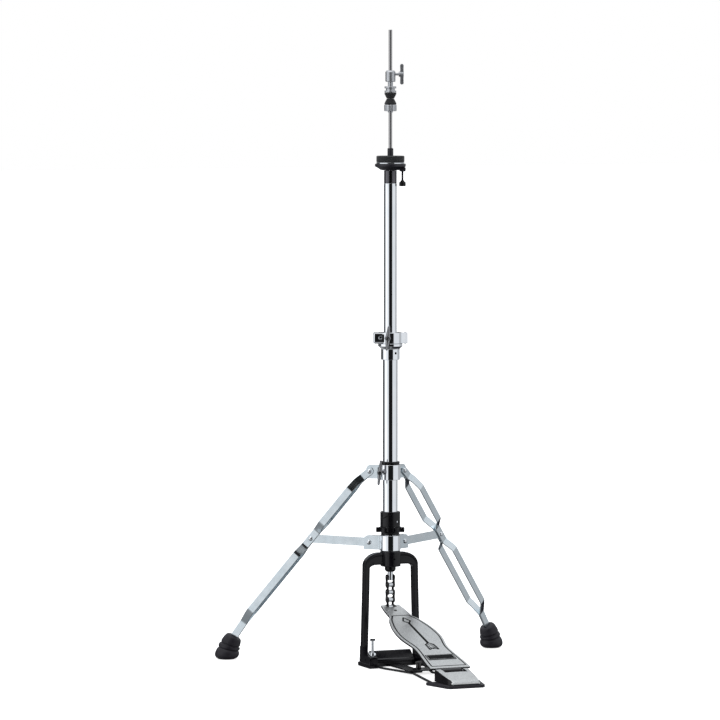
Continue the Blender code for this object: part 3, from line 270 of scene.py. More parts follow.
def slab(outline, low, high, edge=0.4):
    """A plate over an outline in X and Y, with rounded rims."""
    levels = [(low, -edge), (low + 0.3 * edge, -0.3 * edge), (low + edge, 0), (high - edge, 0),
              (high - 0.3 * edge, -0.3 * edge), (high, -edge)]
    rings = []
    for z, outward in levels:
        ring = grow(outline, outward) if outward else outline
        rings.append([(x, y, z) for x, y in ring])
    return loft(rings)


def turned(profile, sides=64, radius=0.35, matrix=None):
    """Turn a (radius, height) profile about Z. One that starts on the axis is solid, else it is a ring."""
    solid = profile[0][0] == 0
    points = rounded(profile, radius, closed=not solid, steps=3)
    rings = [circle(r, z, sides) for r, z in points]
    return moved(loft(rings, loop=not solid, capped=False), matrix)


def tube(radius, bore, low, high, sides=64, edge=0.5):
    return turned([(radius, high), (radius, low), (bore, low), (bore, high)], sides, edge)


def along(start, end):
    """Matrix that turns +Z into the direction from start to end, and puts the origin at start."""
    start, end = Vector(start), Vector(end)
    turn = Vector((0, 0, 1)).rotation_difference(end - start).to_matrix().to_4x4()
    return Matrix.Translation(start) @ turn


def pin(start, end, radius, edge=0.4, sides=32):
    length = (Vector(end) - Vector(start)).length
    return turned([(0, 0), (radius, 0), (radius, length), (0, length)], sides, edge, along(start, end))


def block(low, high, edge=0.5):
    outline = rounded([(low[0], low[1]), (high[0], low[1]), (high[0], high[1]), (low[0], high[1])], edge)
    return slab(outline, low[2], high[2], edge)


def swept(points, radius, sides):
    """A round bar along a path of points."""
    rings = []
    normal = None
    for i, point in enumerate(points):
        here = Vector(point)
        before = Vector(points[max(i - 1, 0)])
        after = Vector(points[min(i + 1, len(points) - 1)])
        heading = (after - before).normalized()
        if normal is None:
            normal = heading.orthogonal().normalized()
        normal = (normal - heading * normal.dot(heading)).normalized()
        other = heading.cross(normal)
        rings.append([here + (normal * x + other * y) * radius for x, y, _ in circle(1, 0, sides)])
    return loft(rings)


def thread(radius, depth, pitch, low, high, sides=24, matrix=None):
    """A solid screw thread about Z."""
    steps = int((high - low) / pitch * 4)
    rings = [circle(0, low, sides)]
    for i in range(steps + 1):
        z = low + (high - low) * i / steps
        phases = [(z / pitch - k / sides) % 1 for k in range(sides)]
        rings.append(circle([radius - depth * abs(2 * phase - 1) for phase in phases], z, sides))
    rings.append(circle(0, high, sides))
    return moved(loft(rings, capped=False), matrix)


def fluted(radius, depth, count, low, high, chamfer=0.8, matrix=None):
    """A knurled solid about Z, with chamfered ends."""
    sides = count * 6
    rings = [circle(0, low, sides)]
    for z, share in ((low, 1), (low + chamfer, 0), (high - chamfer, 0), (high, 1)):
        rings.append(circle([radius - chamfer * share - depth * (0.5 + 0.5 * math.cos(math.tau * k / 6))
                             * (1 - share) for k in range(sides)], z, sides))
    rings.append(circle(0, high, sides))
    return moved(loft(rings, capped=False), matrix)


def hexagon(across, low, high, matrix=None):
    return moved(slab(rounded(arc((0, 0), across / math.sqrt(3), 0, 300, 5), 0.25), low, high, 0.5), matrix)


def stadium(first, second, radius, count):
    heading = math.degrees(math.atan2(second[1] - first[1], second[0] - first[0]))
    return (arc(second, radius, heading - 90, heading + 90, count)
            + arc(first, radius, heading + 90, heading + 270, count))


# ---- pieces ----

def put(name, data):
    obj = bpy.data.objects.new(name, data)
    bpy.context.scene.collection.objects.link(obj)
    return obj


def mesh_from(name, shells, look, matrix=None):
    """One object from closed shells."""
    verts, faces = [], []
    for points, polygons in shells:
        base = len(verts)
        verts += points
        faces += [tuple(base + i for i in polygon) for polygon in polygons]
    verts, faces = moved((verts, faces), matrix)
    mesh = bpy.data.meshes.new(name)
    mesh.from_pydata([v * MM for v in verts], [], faces)
    shape = bmesh.new()
    shape.from_mesh(mesh)
    bmesh.ops.remove_doubles(shape, verts=shape.verts, dist=2e-7)
    bmesh.ops.dissolve_degenerate(shape, edges=shape.edges, dist=1e-7)
    bmesh.ops.recalc_face_normals(shape, faces=shape.faces)
    shape.to_mesh(mesh)
    shape.free()
    mesh.materials.append(LOOKS[look])
    return put(name, mesh)


def sound(mesh):
    """True for a mesh that is closed and not empty."""
    shape = bmesh.new()
    shape.from_mesh(mesh)
    good = len(shape.faces) > 5 and all(edge.is_manifold for edge in shape.edges)
    shape.free()
    return good


def applied(obj):
    """A mesh with the object's modifiers applied. The object loses them."""
    bpy.context.view_layer.update()
    evaluated = obj.evaluated_get(bpy.context.evaluated_depsgraph_get())
    mesh = bpy.data.meshes.new_from_object(evaluated)
    obj.modifiers.clear()
    return mesh


def carve(obj, cutters, matrix=None, look=None, operation="DIFFERENCE"):
    """Cut shells out of an object, or join them to it. New faces take the look, if one is given."""
    for cutter in cutters:
        tool = mesh_from(obj.name + "_tool", [cutter], look or look_of(obj), matrix)
        for solver in ("MANIFOLD", "EXACT"):
            modifier = obj.modifiers.new("cut", "BOOLEAN")
            modifier.operation = operation
            modifier.object = tool
            modifier.solver = solver
            modifier.material_mode = "TRANSFER"
            mesh = applied(obj)
            if sound(mesh):
                obj.data = mesh
                break
        else:
            print("carve left out", obj.name, cutters.index(cutter))
        bpy.data.objects.remove(tool, do_unlink=True)


def join(obj, shells, matrix=None):
    carve(obj, shells, matrix, operation="UNION")


def look_of(obj):
    return obj.data.materials[0].name.removeprefix("finish_")


def settle(obj, body, nodes=(), crease=33):
    """Finish a piece: smooth faces between creases, its body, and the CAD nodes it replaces."""
    obj.data.shade_smooth()
    obj.data.set_sharp_from_angle(angle=math.radians(crease))
    obj.modifiers.new("flat faces stay flat", "WEIGHTED_NORMAL").keep_sharp = True
    obj.data = applied(obj)
    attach(obj, body)
    if nodes:
        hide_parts(*nodes)


def piece(name, body, look, shells, nodes=(), matrix=None, cuts=()):
    obj = mesh_from(name, shells, look, matrix)
    carve(obj, cuts, matrix)
    settle(obj, body, nodes)


def wings(span, waist, tip, thickness):
    """Two wings in XZ, as one plate with a swelling outline, thickness along Y."""
    half, root = span / 2, 0.75 * waist + 0.15 * tip
    outline = arc((0, half - tip), tip, -8, 188, 10)
    outline += [(-root, half * 0.42), (-waist, 2), (-waist, -2), (-root, -half * 0.42)]
    outline += arc((0, tip - half), tip, 172, 368, 10)
    outline += [(root, -half * 0.42), (waist, -2), (waist, 2), (root, half * 0.42)]
    return moved(slab(outline, -thickness / 2, thickness / 2, 0.8), STAND_UP)


def spindle(span, hub, tip, depth, lean):
    """Two wings along Z that thicken towards the hub, for a wing bolt whose axis is Y."""
    rings = []
    for i in range(-16, 17):
        share = abs(i) / 16
        close = math.sqrt(max(0, 1 - max(0, (share - 0.9) / 0.1) ** 2))
        wide = (tip + (hub - tip) * (1 - share) ** 1.6) / 2 * max(close, 0.15)
        deep = depth * (1 + 0.25 * math.sin(math.pi * share)) / 2 * max(close, 0.15)
        rings.append([(wide * x, deep * y, span / 2 * i / 16) for x, y, _ in circle(1, 0, 20)])
    return moved(loft(rings), spin(lean, "Y"))


def dome(centre, direction, radius, height):
    """A rivet's round head."""
    profile = [(0, height)]
    for i in range(1, 7):
        a = math.radians(90 - 15 * i)
        profile.append((radius * math.cos(a), height * math.sin(a)))
    profile += [(radius, -0.4), (0, -0.4)]
    return turned(profile, 24, 0, along(centre, Vector(centre) + Vector(direction)))


# ---- tubes and pull rod ----

def tubes():
    piece("base_tube_chrome", "base", "chrome", [tube(12.7, 11.5, 172.3, 545, 96)], ["base_tube"])
    piece("upper_tube_chrome", "upper_stand", "chrome", [tube(11, 9.8, 432, 818.6, 96)], ["upper_tube"])
    rod = turned([(0, 1077.5), (3, 1077.5, 0.9), (3, 310.4, 0.3), (0, 310.4)], 48, 0.5)
    piece("pull_rod_bar", "pull_rod", "rod_steel", [rod], ["upper_pull_rod"])
    lower = turned([(0, 310), (3.3, 310), (3.3, 335), (5, 335), (5, 320), (4, 319),
                    (4, 206), (4.8, 205), (4.8, 160), (4.5, 159.4), (4.5, 157.6), (4.8, 157),
                    (4.8, 145.2), (4, 144.5), (0, 144.5)], 48, 0.3)
    piece("rod_end", "pull_rod", "bright_steel", [lower], ["lower_pull_rod"],
          cuts=[pin((-10, 0, CHAIN_TOP), (10, 0, CHAIN_TOP), PIN_HOLE, 0)])
    piece("spring_stop", "pull_rod", "black_plastic", [tube(10.4, 4.3, 300.4, 306, 48)], ["spring_collar"])
    piece("spring_foot", "base", "bright_steel", [tube(10.9, 5.2, 219, 225.3, 48)], ["spring_seat"])


# ---- U frame and base ----

def arm_path():
    """The frame's middle line from the right sole over the top to the left one."""
    foot_x, top_x, rise, radius = 48.45, 44.4, 165.5, 22.6
    right = [(foot_x, 4), (foot_x - 0.9, 40), (top_x + 0.7, 130)]
    right += arc((top_x - radius, rise), radius, 0, 90, 16)
    return right + [(12, 188.1), (-12, 188.1)] + [(-x, z) for x, z in reversed(right)]


def u_frame():
    # ribbed section: across the arm's plane, and front to back
    front_edge = [(-4.75, -6.2, 1.6), (-2.9, -7, 1), (-1.9, -5.7, 0.7), (2, -5.7, 0.7),
                  (3, -7, 1), (4.75, -6.2, 1.6)]
    back_edge = [(4.75, 6.2, 1.6), (2.8, 7, 1), (1.8, 5.8, 0.7), (-1.8, 5.8, 0.7), (-2.8, 7, 1),
                 (-4.75, 6.2, 1.6)]
    section = rounded(front_edge + back_edge)
    path = arm_path()
    rings = []
    for i, (x, z) in enumerate(path):
        before, after = path[max(i - 1, 0)], path[min(i + 1, len(path) - 1)]
        heading = Vector((after[0] - before[0], 0, after[1] - before[1])).normalized()
        outward = Vector((heading.z, 0, -heading.x))
        # the bridge over the hub is deeper than the arms
        deep = 1 + 1.15 * max(0, min(1, (z - 168) / 20))
        centre = Vector((x, 0, z - (deep - 1) * 5.2))
        rings.append([centre + outward * n * deep + Vector((0, y, 0)) for n, y in section])
    arms = loft(rings)
    hub = turned([(0, 168.5), (16.2, 168.5, 1), (17, 171, 1), (17, 193.6, 1), (16, 194.9),
                  (0, 194.9)], 72, 0.4)
    face = [(16.8, -3), *arc((1.8, -4), 16.6, -18, -136, 14), (-10.2, -3)]
    front = moved(slab(rounded(face, 0.8), 168.9, 194.6, 1.4), SIDE)
    screw_at = SIDE @ Vector((7.3, -19.8, 182))
    screw_from = SIDE @ Vector((7.3, -26, 182))
    neck = turned([(0, 159.2), (7, 159.2, 0.8), (9.4, 162.6, 0.8), (9.4, 172), (0, 172)], 48)
    body = mesh_from("u_frame_casting", [arms], "black_casting")
    cutters = [turned([(0, 172), (13, 172), (13, 206), (0, 206)], 72, 0),
               pin((0, 0, 150), (0, 0, 180), 5.3, 0),
               pin(screw_from, screw_at + (screw_at - screw_from) * 0.5, 1.4, 0)]
    feet = []
    for side in (-1, 1):
        inner, outer = sorted((side * 37.6, side * 55.2))
        sole = block((inner, -41, 0), (outer, 11.5, 7), 1.4)
        outline = rounded([(9, 0.5), (9, 15), (-15, 20.5), (-39, 19), (-39, 0.5)], 3.2)
        boss = moved(slab(outline, -7.85, 7.85, 2.4), shift(side * 45.95, 0, 0) @ FACE_X)
        root = rounded([(8.2, 6), (8.2, 16), (7.2, 34), (-7.2, 36), (-13.6, 17), (-13.6, 6)], 2.2)
        feet += [sole, boss, moved(slab(root, -4.4, 4.4, 1.5), shift(side * 49.1, 0, 0) @ FACE_X)]
        cutters += [pin((side * SPUR_X, SPUR_Y, -5), (side * SPUR_X, SPUR_Y, 40), 2.6, 0),
                    pin((side * 50, -21, 13), (side * 70, -21, 13), 1.5, 0)]
    join(body, [hub, front, neck] + feet)
    carve(body, cutters)
    settle(body, "base", ["u_frame"])


def cross_bar():
    profile = [(8, 0, 0.8), (8, 21.5, 3), (3.5, 25, 2.5), (-1, 25, 5), (-15.5, 13.2, 3.5),
               (-20.5, 12.4, 1.5), (-22, 10, 1.5), (-22, 0, 0.8)]
    bar = moved(slab(rounded(profile), -37.2, 37.2, 0.6), FACE_X)
    ribs = []
    for z in (3.4, 8.2):
        rib = rounded([(-15.2, z - 0.8), (-15.2, z + 0.8), (-12, z + 0.8), (-12, z - 0.8)], 0.3)
        ribs.append(moved(slab(rib, -36, 36, 0.3), shift(0, -7.4, 0) @ FACE_X))
    tongue = slab(rounded([(12, -15), (-12, -15), (-12, -40), (-8.5, -121, 4), (-4, -124, 3), (4, -124, 3),
                           (8.5, -121, 4), (12, -40)], 1), 1, 4, 0.5)
    body = mesh_from("cross_bar_casting", [bar], "black_casting")
    join(body, [tongue])
    carve(body, ribs + [pin((*ROD_BOLT, -5), (*ROD_BOLT, 12), 2.6, 0)])
    settle(body, "base", ["cross_bar"])


def wing_nut(z, hub, height, span):
    """Shells of a small wing nut about Z that sits at height z."""
    boss = turned([(0, z), (hub + 0.7, z), (hub, z + height), (0, z + height)], 32, 0.6)
    plate = moved(wings(span, 2.6, 2.5, 1.8), shift(0, 0, z + 0.55 * height) @ FACE_Y)
    return [boss, plate]


def spurs():
    bolt = [thread(2.3, 0.12, 0.9, 5, 43.5),
            turned([(0, 1.5), (0.6, 1.5), (2, 5.2), (0, 5.2)], 24, 0.2),
            turned([(0, 43.2), (2.1, 43.2), (2.1, 46.6), (0, 46.6)], 24, 0.2),
            block((-4.6, -2.2, 46), (4.6, 2.2, 50), 0.9)]
    for side, name in SIDES:
        place = shift(side * SPUR_X, SPUR_Y, 0)
        piece("spur_bolt_" + name, name + "_spur", "bright_steel", bolt, ["spur_" + name], place @ SIDE)
        piece("spur_wing_nut_" + name, name + "_spur_nut", "bright_steel", wing_nut(20.8, 3.9, 5.5, 17),
              ["spur_nut_" + name], place @ spin(70 * side))


def floor_rods():
    for side, name in SIDES:
        route = rounded([(side * 41, -45.6), (side * 38, -66), (side * 17, -139),
                         (side * 19, -150), (side * 36, -261)], 14, closed=False, steps=6)
        piece("radius_rod_bar_" + name, "base", "enamel", [swept([(x, y, 3.3) for x, y in route], 2.1, 16)],
              ["radius_rod_" + name])
    saddle = slab(rounded([(-24, -140), (24, -140), (24, -106), (-24, -106)], 3), 5.7, 7.7, 0.5)
    piece("rod_saddle_plate", "base", "black_casting", [saddle], ["rod_saddle"],
          cuts=[pin((*ROD_BOLT, 0), (*ROD_BOLT, 20), 2.6, 0)])
    boss, plate = wing_nut(8, 3.9, 8.4, 17)
    bolt = [turned([(0, 1.5), (2.2, 1.5), (2.2, 8.4), (0, 8.4)], 24, 0.2), boss,
            moved(plate, shift(0, 0, 4.4))]
    piece("rod_clamp_bolt", "rod_wing", "dark_steel", bolt, ["rod_wing_bolt"],
          shift(*ROD_BOLT, 0) @ spin(25))


# ---- pedal ----

# distance from the hinge, and half the board's width there
HALF_WIDTHS = ((7, 36.2), (30, 35), (52, 33), (70, 31.3), (89, 30.6), (105, 32.5), (122, 36),
               (138, 38), (154, 38), (171, 36.4), (187, 33.8), (200.5, 30.6), (212, 27.4), (220, 23.4),
               (227, 20.8), (238, 20.2), (256, 19), (276, 16.4))
BOARD = Matrix.Translation(BOARD_HINGE) @ spin(BOARD_SLOPE, "X")
TOE_SCREW_Y = 250


def board_half(s):
    """Half width of the board at a distance from its hinge, on a smooth curve."""
    knots = HALF_WIDTHS
    for i in range(len(knots) - 1):
        if s <= knots[i + 1][0]:
            break
    (s0, w0), (s1, w1) = knots[i], knots[i + 1]

    def slope(k):
        a, b = knots[max(k - 1, 0)], knots[min(k + 1, len(knots) - 1)]
        return (b[1] - a[1]) / (b[0] - a[0])
    t, span = (s - s0) / (s1 - s0), s1 - s0
    return ((2 * t ** 3 - 3 * t * t + 1) * w0 + (t ** 3 - 2 * t * t + t) * span * slope(i)
            + (3 * t * t - 2 * t ** 3) * w1 + (t ** 3 - t * t) * span * slope(i + 1))


def board_outline(start, end, inset, corner):
    count = int((end - start) / 3)
    right = [(board_half(start + (end - start) * i / count) - inset, start + (end - start) * i / count)
             for i in range(count + 1)]
    right[0] = (*right[0], corner)
    right[-1] = (*right[-1], corner)
    left = [(-p[0], *p[1:]) for p in reversed(right)]
    return rounded(right + left)


def ring_band(outline, width, low, high):
    """A closed band that follows an outline: the shape of a groove."""
    outer, inner = grow(outline, width / 2), grow(outline, -width / 2)
    rings = [[(*outer[i], low), (*outer[i], high), (*inner[i], high), (*inner[i], low)]
             for i in range(len(outline))]
    return loft(rings, loop=True)


def paint(obj, look, test):
    """Give a second look to the faces whose middle and normal pass the test."""
    obj.data.materials.append(LOOKS[look])
    slot = len(obj.data.materials) - 1
    for polygon in obj.data.polygons:
        if test(polygon.center / MM, polygon.normal):
            polygon.material_index = slot


def footboard():
    rim = slab(board_outline(7, 276, 0, 1.2), 0.5, 4.5, 0.9)
    body = mesh_from("footboard_casting", [rim], "cast_silver", BOARD)
    knuckle = pin((-18, 0, 0), (18, 0, 0), 4, 0.6)
    web = block((-17.5, 1, -1), (17.7, 12, 3.7), 0.6)
    ribs = [block((x - 1.5, 10, -5), (x + 1.5, 205, 2), 0.6) for x in (-10.5, 10.5)]
    join(body, [knuckle, web] + ribs, BOARD)
    carve(body, [block((-8.6, 265, -20), (8.6, 295, 20), 0.8), pin((-40, 0, 0), (40, 0, 0), 2.8, 0),
                 pin((0, TOE_SCREW_Y, -10), (0, TOE_SCREW_Y, 20), 2.3, 0)], BOARD)
    up = BOARD.to_3x3() @ Vector((0, 0, 1))
    flat = BOARD.inverted()
    paint(body, "black_casting", lambda middle, normal: normal.dot(up) < 0.35 or (flat @ middle).y < 6.6)
    # the groove round the top takes the near-black look: painted shade in the groove
    carve(body, [ring_band(board_outline(14, 228, 5.2, 5), 2.4, 3.9, 8)], BOARD, "ink")
    settle(body, "pedal", ["footboard"], 28)


def board_marks():
    """Generic arrow, plate and toe screw on top of the board."""
    under, over = 4.2, 4.65
    head = [(1, 218.5), (8, 204), (4, 197), (-0.2, 197), (-4.8, 204)]
    feathers = [(1.6, 109), (9, 103), (10.2, 81), (3.6, 88), (2, 84), (0.2, 88),
                (-6, 81), (-5.4, 103)]
    arrow = [ring_band(rounded(head, 0.6), 2.6, under, over),
             ring_band(rounded(feathers, 0.8), 2.6, under, over),
             slab([(-0.2, 197), (-0.7, 107), (3.9, 107), (4, 197)], under, over, 0.05)]
    for start in (90, 95.5, 101):
        for near, far in ((2.4, 8.2), (1, -4.4)):
            bar = [(near, start + 1), (far, start - 3), (far, start - 1), (near, start + 3)]
            arrow.append(slab(bar, under, over, 0.05))
    piece("footboard_arrow", "pedal", "ink", arrow, (), BOARD)
    piece("footboard_plate", "pedal", "ink",
          [slab(rounded([(-25, 39.5), (25, 39.5), (25, 60), (-25, 60)], 1.2), 4, 4.95, 0.25)], (), BOARD)
    border = rounded([(-23.2, 41.4), (23.2, 41.4), (23.2, 58.1), (-23.2, 58.1)], 1)
    piece("footboard_plate_trim", "pedal", "cast_silver", [ring_band(border, 0.6, 4.6, 5.15)], (), BOARD)
    screw = turned([(0, 4.2), (2.6, 4.2), (2.6, 4.9), (1.9, 5.5), (0, 5.5)], 32, 0.25)
    piece("toe_screw", "pedal", "dark_steel", [screw], (), BOARD @ shift(0, TOE_SCREW_Y, 0))


def toe_bracket():
    _, y, z = BOARD.inverted() @ Vector((0, 0, CHAIN_TOP - 4 * CHAIN_PITCH))
    shells = [block((-8, 241, -1.6), (8, 262, 0.2), 0.4)]
    for side in (-1, 1):
        outline = [(258, -1.6), (y, z - 4.2), *arc((y, z), 4.2, -60, 90, 8), (266, z + 2.5), (265.7, 0.2),
                   (258, 0.2)]
        shells.append(moved(slab(outline, -0.9, 0.9, 0.3), shift(side * 7.1, 0, 0) @ FACE_X))
        shells.append(turned([(0, 0), (2.5, 0), (2.5, 0.9), (0, 0.9)], 24, 0.3,
                             along((side * 7.7, y, z), (side * 9.7, y, z))))
    shells.append(pin((-8.2, y, z), (8.2, y, z), 1.4, 0.3, 20))
    shells.append(pin((0, TOE_SCREW_Y, -0.8), (0, TOE_SCREW_Y, 4.1), 1.9, 0.1, 20))
    piece("toe_bracket_steel", "pedal", "dark_steel", shells, ["toe_bracket"], BOARD)


def heel_ring(y, top, edge, crease, foot):
    """Section of the heel at y: a crowned top between two creases, over sides that lean out."""
    crown, bottom = top - edge, 5.3
    half = [(foot, bottom), (foot, bottom + 0.5), ((foot + crease) / 2 + 0.3, (bottom + edge) / 2),
            (crease + 0.5, edge - 0.6), (crease, edge), (0.92 * crease, edge + 0.50 * crown),
            (0.70 * crease, edge + 0.85 * crown), (0.35 * crease, edge + 0.97 * crown)]
    return [(x, y, z) for x, z in half] + [(-x, y, z) for x, z in reversed(half)]


def heel():
    # y, top, crease height, half width at the crease and at the foot
    sections = [(-257.6, 21.6, 21.4, 28.5, 29.3), (-258.4, 23.8, 23.4, 28.5, 29.5),
                (-260, 24.9, 24.4, 28.5, 29.5), (-264, 24.9, 24.1, 28.5, 29.5),
                (-272, 23.9, 22.5, 28.3, 29.5), (-281, 22.3, 20.3, 27.9, 29.5),
                (-290, 20.4, 18.2, 27.4, 29.5), (-299, 18.2, 16.2, 26.6, 29.5),
                (-307, 16.1, 14.4, 25.6, 29.3), (-313, 14.3, 13, 24.6, 28.8),
                (-316.5, 13, 12.1, 24, 28.2), (-318.6, 11.5, 11, 23.5, 27.4),
                (-320.2, 9.4, 9.2, 23, 26.4), (-321.3, 7, 6.9, 22.5, 25.2)]
    body = mesh_from("heel_casting", [loft([heel_ring(*section) for section in sections])], "cast_silver")
    _, y, z = BOARD_HINGE
    carve(body, [pin((-27.5, y, z), (27.5, y, z), 2.8, 0)])
    # the slot behind the hinge takes the near-black look: painted shade in the slot
    carve(body, [block((-20, -281, 15.5), (20, -240, 40), 0.6),
                 block((-20, -268, 9), (20, -240, 30), 0.5)], look="ink")
    paint(body, "black_casting", lambda middle, normal: middle.z < 7 or abs(normal.x) > 0.7
          or middle.y > -258.5)
    settle(body, "base", ["heel"])
    piece("hinge_pin_steel", "base", "bright_steel", [pin((-27, y, z), (27, y, z), 2.5)], ["hinge_pin"])
    points = [(47, -262, 2.5), (-47, -262, 2.5), (-47.5, -266, 2.5), (-33.5, -321, 3), (-29.5, -325, 3),
              (29.5, -325, 3), (33.5, -321, 3), (47.5, -266, 2.5)]
    piece("heel_plate_rubber", "base", "rubber", [slab(rounded(points), 0, 5, 0.9)], ["heel_plate"])


# ---- chain ----

def link_outline(top, bottom):
    radius, waist = 5, 3.6
    middle = (top + bottom) / 2
    points = arc((0, top), radius, -25, 205, 12) + [(-waist, middle, 6)]
    points += arc((0, bottom), radius, 155, 385, 12) + [(waist, middle, 6)]
    return rounded(points, steps=6)


def chain():
    for i in range(4):
        top, bottom = CHAIN_TOP - CHAIN_PITCH * i, CHAIN_TOP - CHAIN_PITCH * (i + 1)
        outer = i % 2 == 0
        name = "chain_link_" + str(i + 1)
        shells = [moved(slab(link_outline(top, bottom), -0.75, 0.75, 0.35), shift(x, 0, 0) @ FACE_X)
                  for x in ((-6.45, 6.45) if outer else (-4.65, 4.65))]
        if outer:
            for z in (top, bottom):
                shells.append(pin((-7.75, 0, z), (7.75, 0, z), 1.98, 0.35, 24))
                shells += [turned([(0, 0), (2.5, 0), (2.3, 0.55), (0, 0.55)], 24, 0.2,
                                  along((s * 7.1, 0, z), (s * 9, 0, z))) for s in (-1, 1)]
            piece(name + "_steel", "chain", "dark_steel", shells, [name])
            continue
        # the toe pin needs play in the last link
        play = 0.62 if i == 3 else 0.0
        cuts = [pin((-12, 0, z), (12, 0, z), r, 0) for z, r in ((top, PIN_HOLE), (bottom, PIN_HOLE + play))]
        piece(name + "_steel", "chain", "dark_steel", shells, [name], cuts=cuts)
        rollers = [turned([(3.95, -3.7), (3.95, 3.7), (bore, 3.7), (bore, -3.7)], 32, 0.4,
                          shift(0, 0, z) @ FACE_Y)
                   for z, bore in ((top, 2.35), (bottom, 2.95 if i == 3 else 2.35))]
        piece(name + "_rollers", "chain", "bright_steel", rollers)


# ---- tension, collars and legs ----

def tension():
    body = mesh_from("tension_housing_shell", [tube(17, 13, 235.9, 261.7, 96, 0.9)], "black_plastic")
    helix = []
    for i in range(61):
        a = math.radians(-178 + 3 * i)
        rise = 251 + 10.5 * min(1, max(0, (i - 15) / 23))
        helix.append((17.1 * math.cos(a), 17.1 * math.sin(a), rise))
    azimuth = math.radians(47.8)
    outward = Vector((math.sin(azimuth), -math.cos(azimuth), 0))
    screw_at = outward * 17 + Vector((0, 0, 244.8))
    seat_cut = pin(screw_at - outward * 1.6, screw_at + outward * 2, 3, 0)
    carve(body, [swept(helix, 0.8, 8), seat_cut], SIDE)
    settle(body, "base", ["tension_housing"])
    piece("tension_screw", "base", "bright_steel", [dome(screw_at - outward * 1.4, outward, 2.3, 1.3)], (),
          SIDE, [pin(screw_at - outward * 0.7, screw_at + outward, 0.9, 0)])
    dial = turned([(18.4, 235.5), (18.4, 228.4), (15.6, 225.8), (15.6, 221.9), (13, 221.9), (13, 235.5)],
                  96, 0.5)
    body = mesh_from("tension_dial_ring", [dial], "black_plastic")
    sixths = [SIDE_AZIMUTH + 60 * i for i in range(6)]
    join(body, [moved(block((15.4, -2.9, 226.4), (24.2, 2.9, 234.9), 1.3), spin(a)) for a in sixths])
    carve(body, [moved(block((17.7, -0.7, 226), (19.5, 0.7, 240), 0.2), spin(a + 30)) for a in sixths])
    settle(body, "dial", ["tension_dial"])


def ears(name, azimuth, body, reach, low, high, half, edge, gap, fold_x, fold_y):
    """A collar's pair of ears for one leg, with the round folds where they leave the collar."""
    outline = rounded([(12, low), (reach, low, 1.2), (reach, high, 8), (12, high)], steps=8)
    shells = []
    for side in (-1, 1):
        shells.append(moved(slab(outline, -half, half, edge), shift(0, side * gap, 0) @ STAND_UP))
        shells.append(pin((fold_x, side * fold_y, low), (fold_x, side * fold_y, high), 2.2, 0.5))
    settle(mesh_from(name, shells, "zinc", spin(azimuth)), body)


def collars():
    piece("lower_collar_chrome", "tripod_base", "chrome", [tube(17.5, 13, 195.3, 221.3, 96, 0.6)],
          ["leg_collar_lower"])
    piece("upper_collar_chrome", "tripod_slider", "chrome", [tube(17.5, 14.7, 316.1, 341.6, 96, 0.6)],
          ["leg_collar_upper"])
    for name, azimuth in LEG_AZIMUTHS.items():
        ears("lower_ears_" + name, azimuth, "tripod_base", 46, 196.3, 220.3, 1, 0.35, 2.55, 17.2, 3.6)
        ears("upper_ears_" + name, azimuth, "tripod_slider", 42, 317.1, 340.6, 0.74, 0.3, 0.76, 17.4, 1.9)
    flange = turned([(15.2, 347.1), (15.8, 346.4), (15.8, 341.9), (14.4, 341.9), (14.4, 316.6),
                     (13, 316.6), (13, 347.1)], 96, 0.5)
    lip = tube(16.3, 13.2, 344.6, 346.8, 96, 0.6)
    piece("collar_bushing_ring", "tripod_slider", "black_plastic", [flange, lip], ["collar_bushing"])
    x, z = -17.9, 329.5
    piece("collar_clamp_block", "tripod_slider", "zinc", [block((-22.5, -11, 321), (-15.6, 11, 338), 1.4)],
          (), SIDE, [pin((x, -30, z), (x, 30, z), 2.9, 0)])
    bolt = [thread(2.6, 0.2, 0.9, 0, 12, 24, along((x, -14, z), (x, 12, z))),
            turned([(0, 0), (4.9, 0), (4.3, 11), (3.1, 13), (0, 13)], 40, 0.7,
                   along((x, -13, z), (x, -26, z))),
            pin((x, -1, z), (x, 12, z), 2.5, 0.1),
            moved(spindle(43, 8.4, 4, 6.8, 6), shift(x, -21.4, z)),
            hexagon(8.6, 11.4, 15, shift(x, 0, z) @ spin(-90, "X"))]
    piece("collar_wing_bolt_steel", "collar_wing", "grey_steel", bolt, ["collar_wing_bolt"], SIDE)


# a leg's points as distance from the stand's axis and height
LEG_PIVOT, LEG_KNEE, MID_PIVOT = Vector((35.5, 329.5)), Vector((57, 311.5)), Vector((139, 212))
LEG_ANKLE, LEG_END, STRUT_PIVOT = Vector((248, 80)), Vector((283, 29.5)), Vector((36.5, 208.5))
STRIP_HALF, STRIP_THICK, BOW, EAR_HOLE = 6.4, 2.3, 15, 2.9
MAIN = (LEG_ANKLE - LEG_KNEE).normalized()


def along_main(point):
    return (Vector(point) - LEG_KNEE).dot(MAIN)


def bow_path():
    """Offset of a strip from the leg's middle plane, against the distance along its long straight."""
    at_ear, at_strut, at_foot = 2.95, 2.6, 1.3
    middle, head, foot = along_main(MID_PIVOT), along_main(LEG_PIVOT), along_main(LEG_END)
    corners = [(head - 20, at_ear), (head + 17, at_ear), (head + 43, BOW), (middle - 35, BOW),
               (middle - 17, at_strut), (middle + 17, at_strut), (middle + 33, BOW), (foot - 70, BOW),
               (foot - 43, at_foot), (foot + 20, at_foot)]
    return rounded(corners, 9, closed=False, steps=5)


def bow_at(path, s):
    for (s0, t0), (s1, t1) in zip(path, path[1:]):
        if s <= s1:
            break
    share = (s - s0) / (s1 - s0)
    return t0 + (t1 - t0) * share, (t1 - t0) / (s1 - s0)


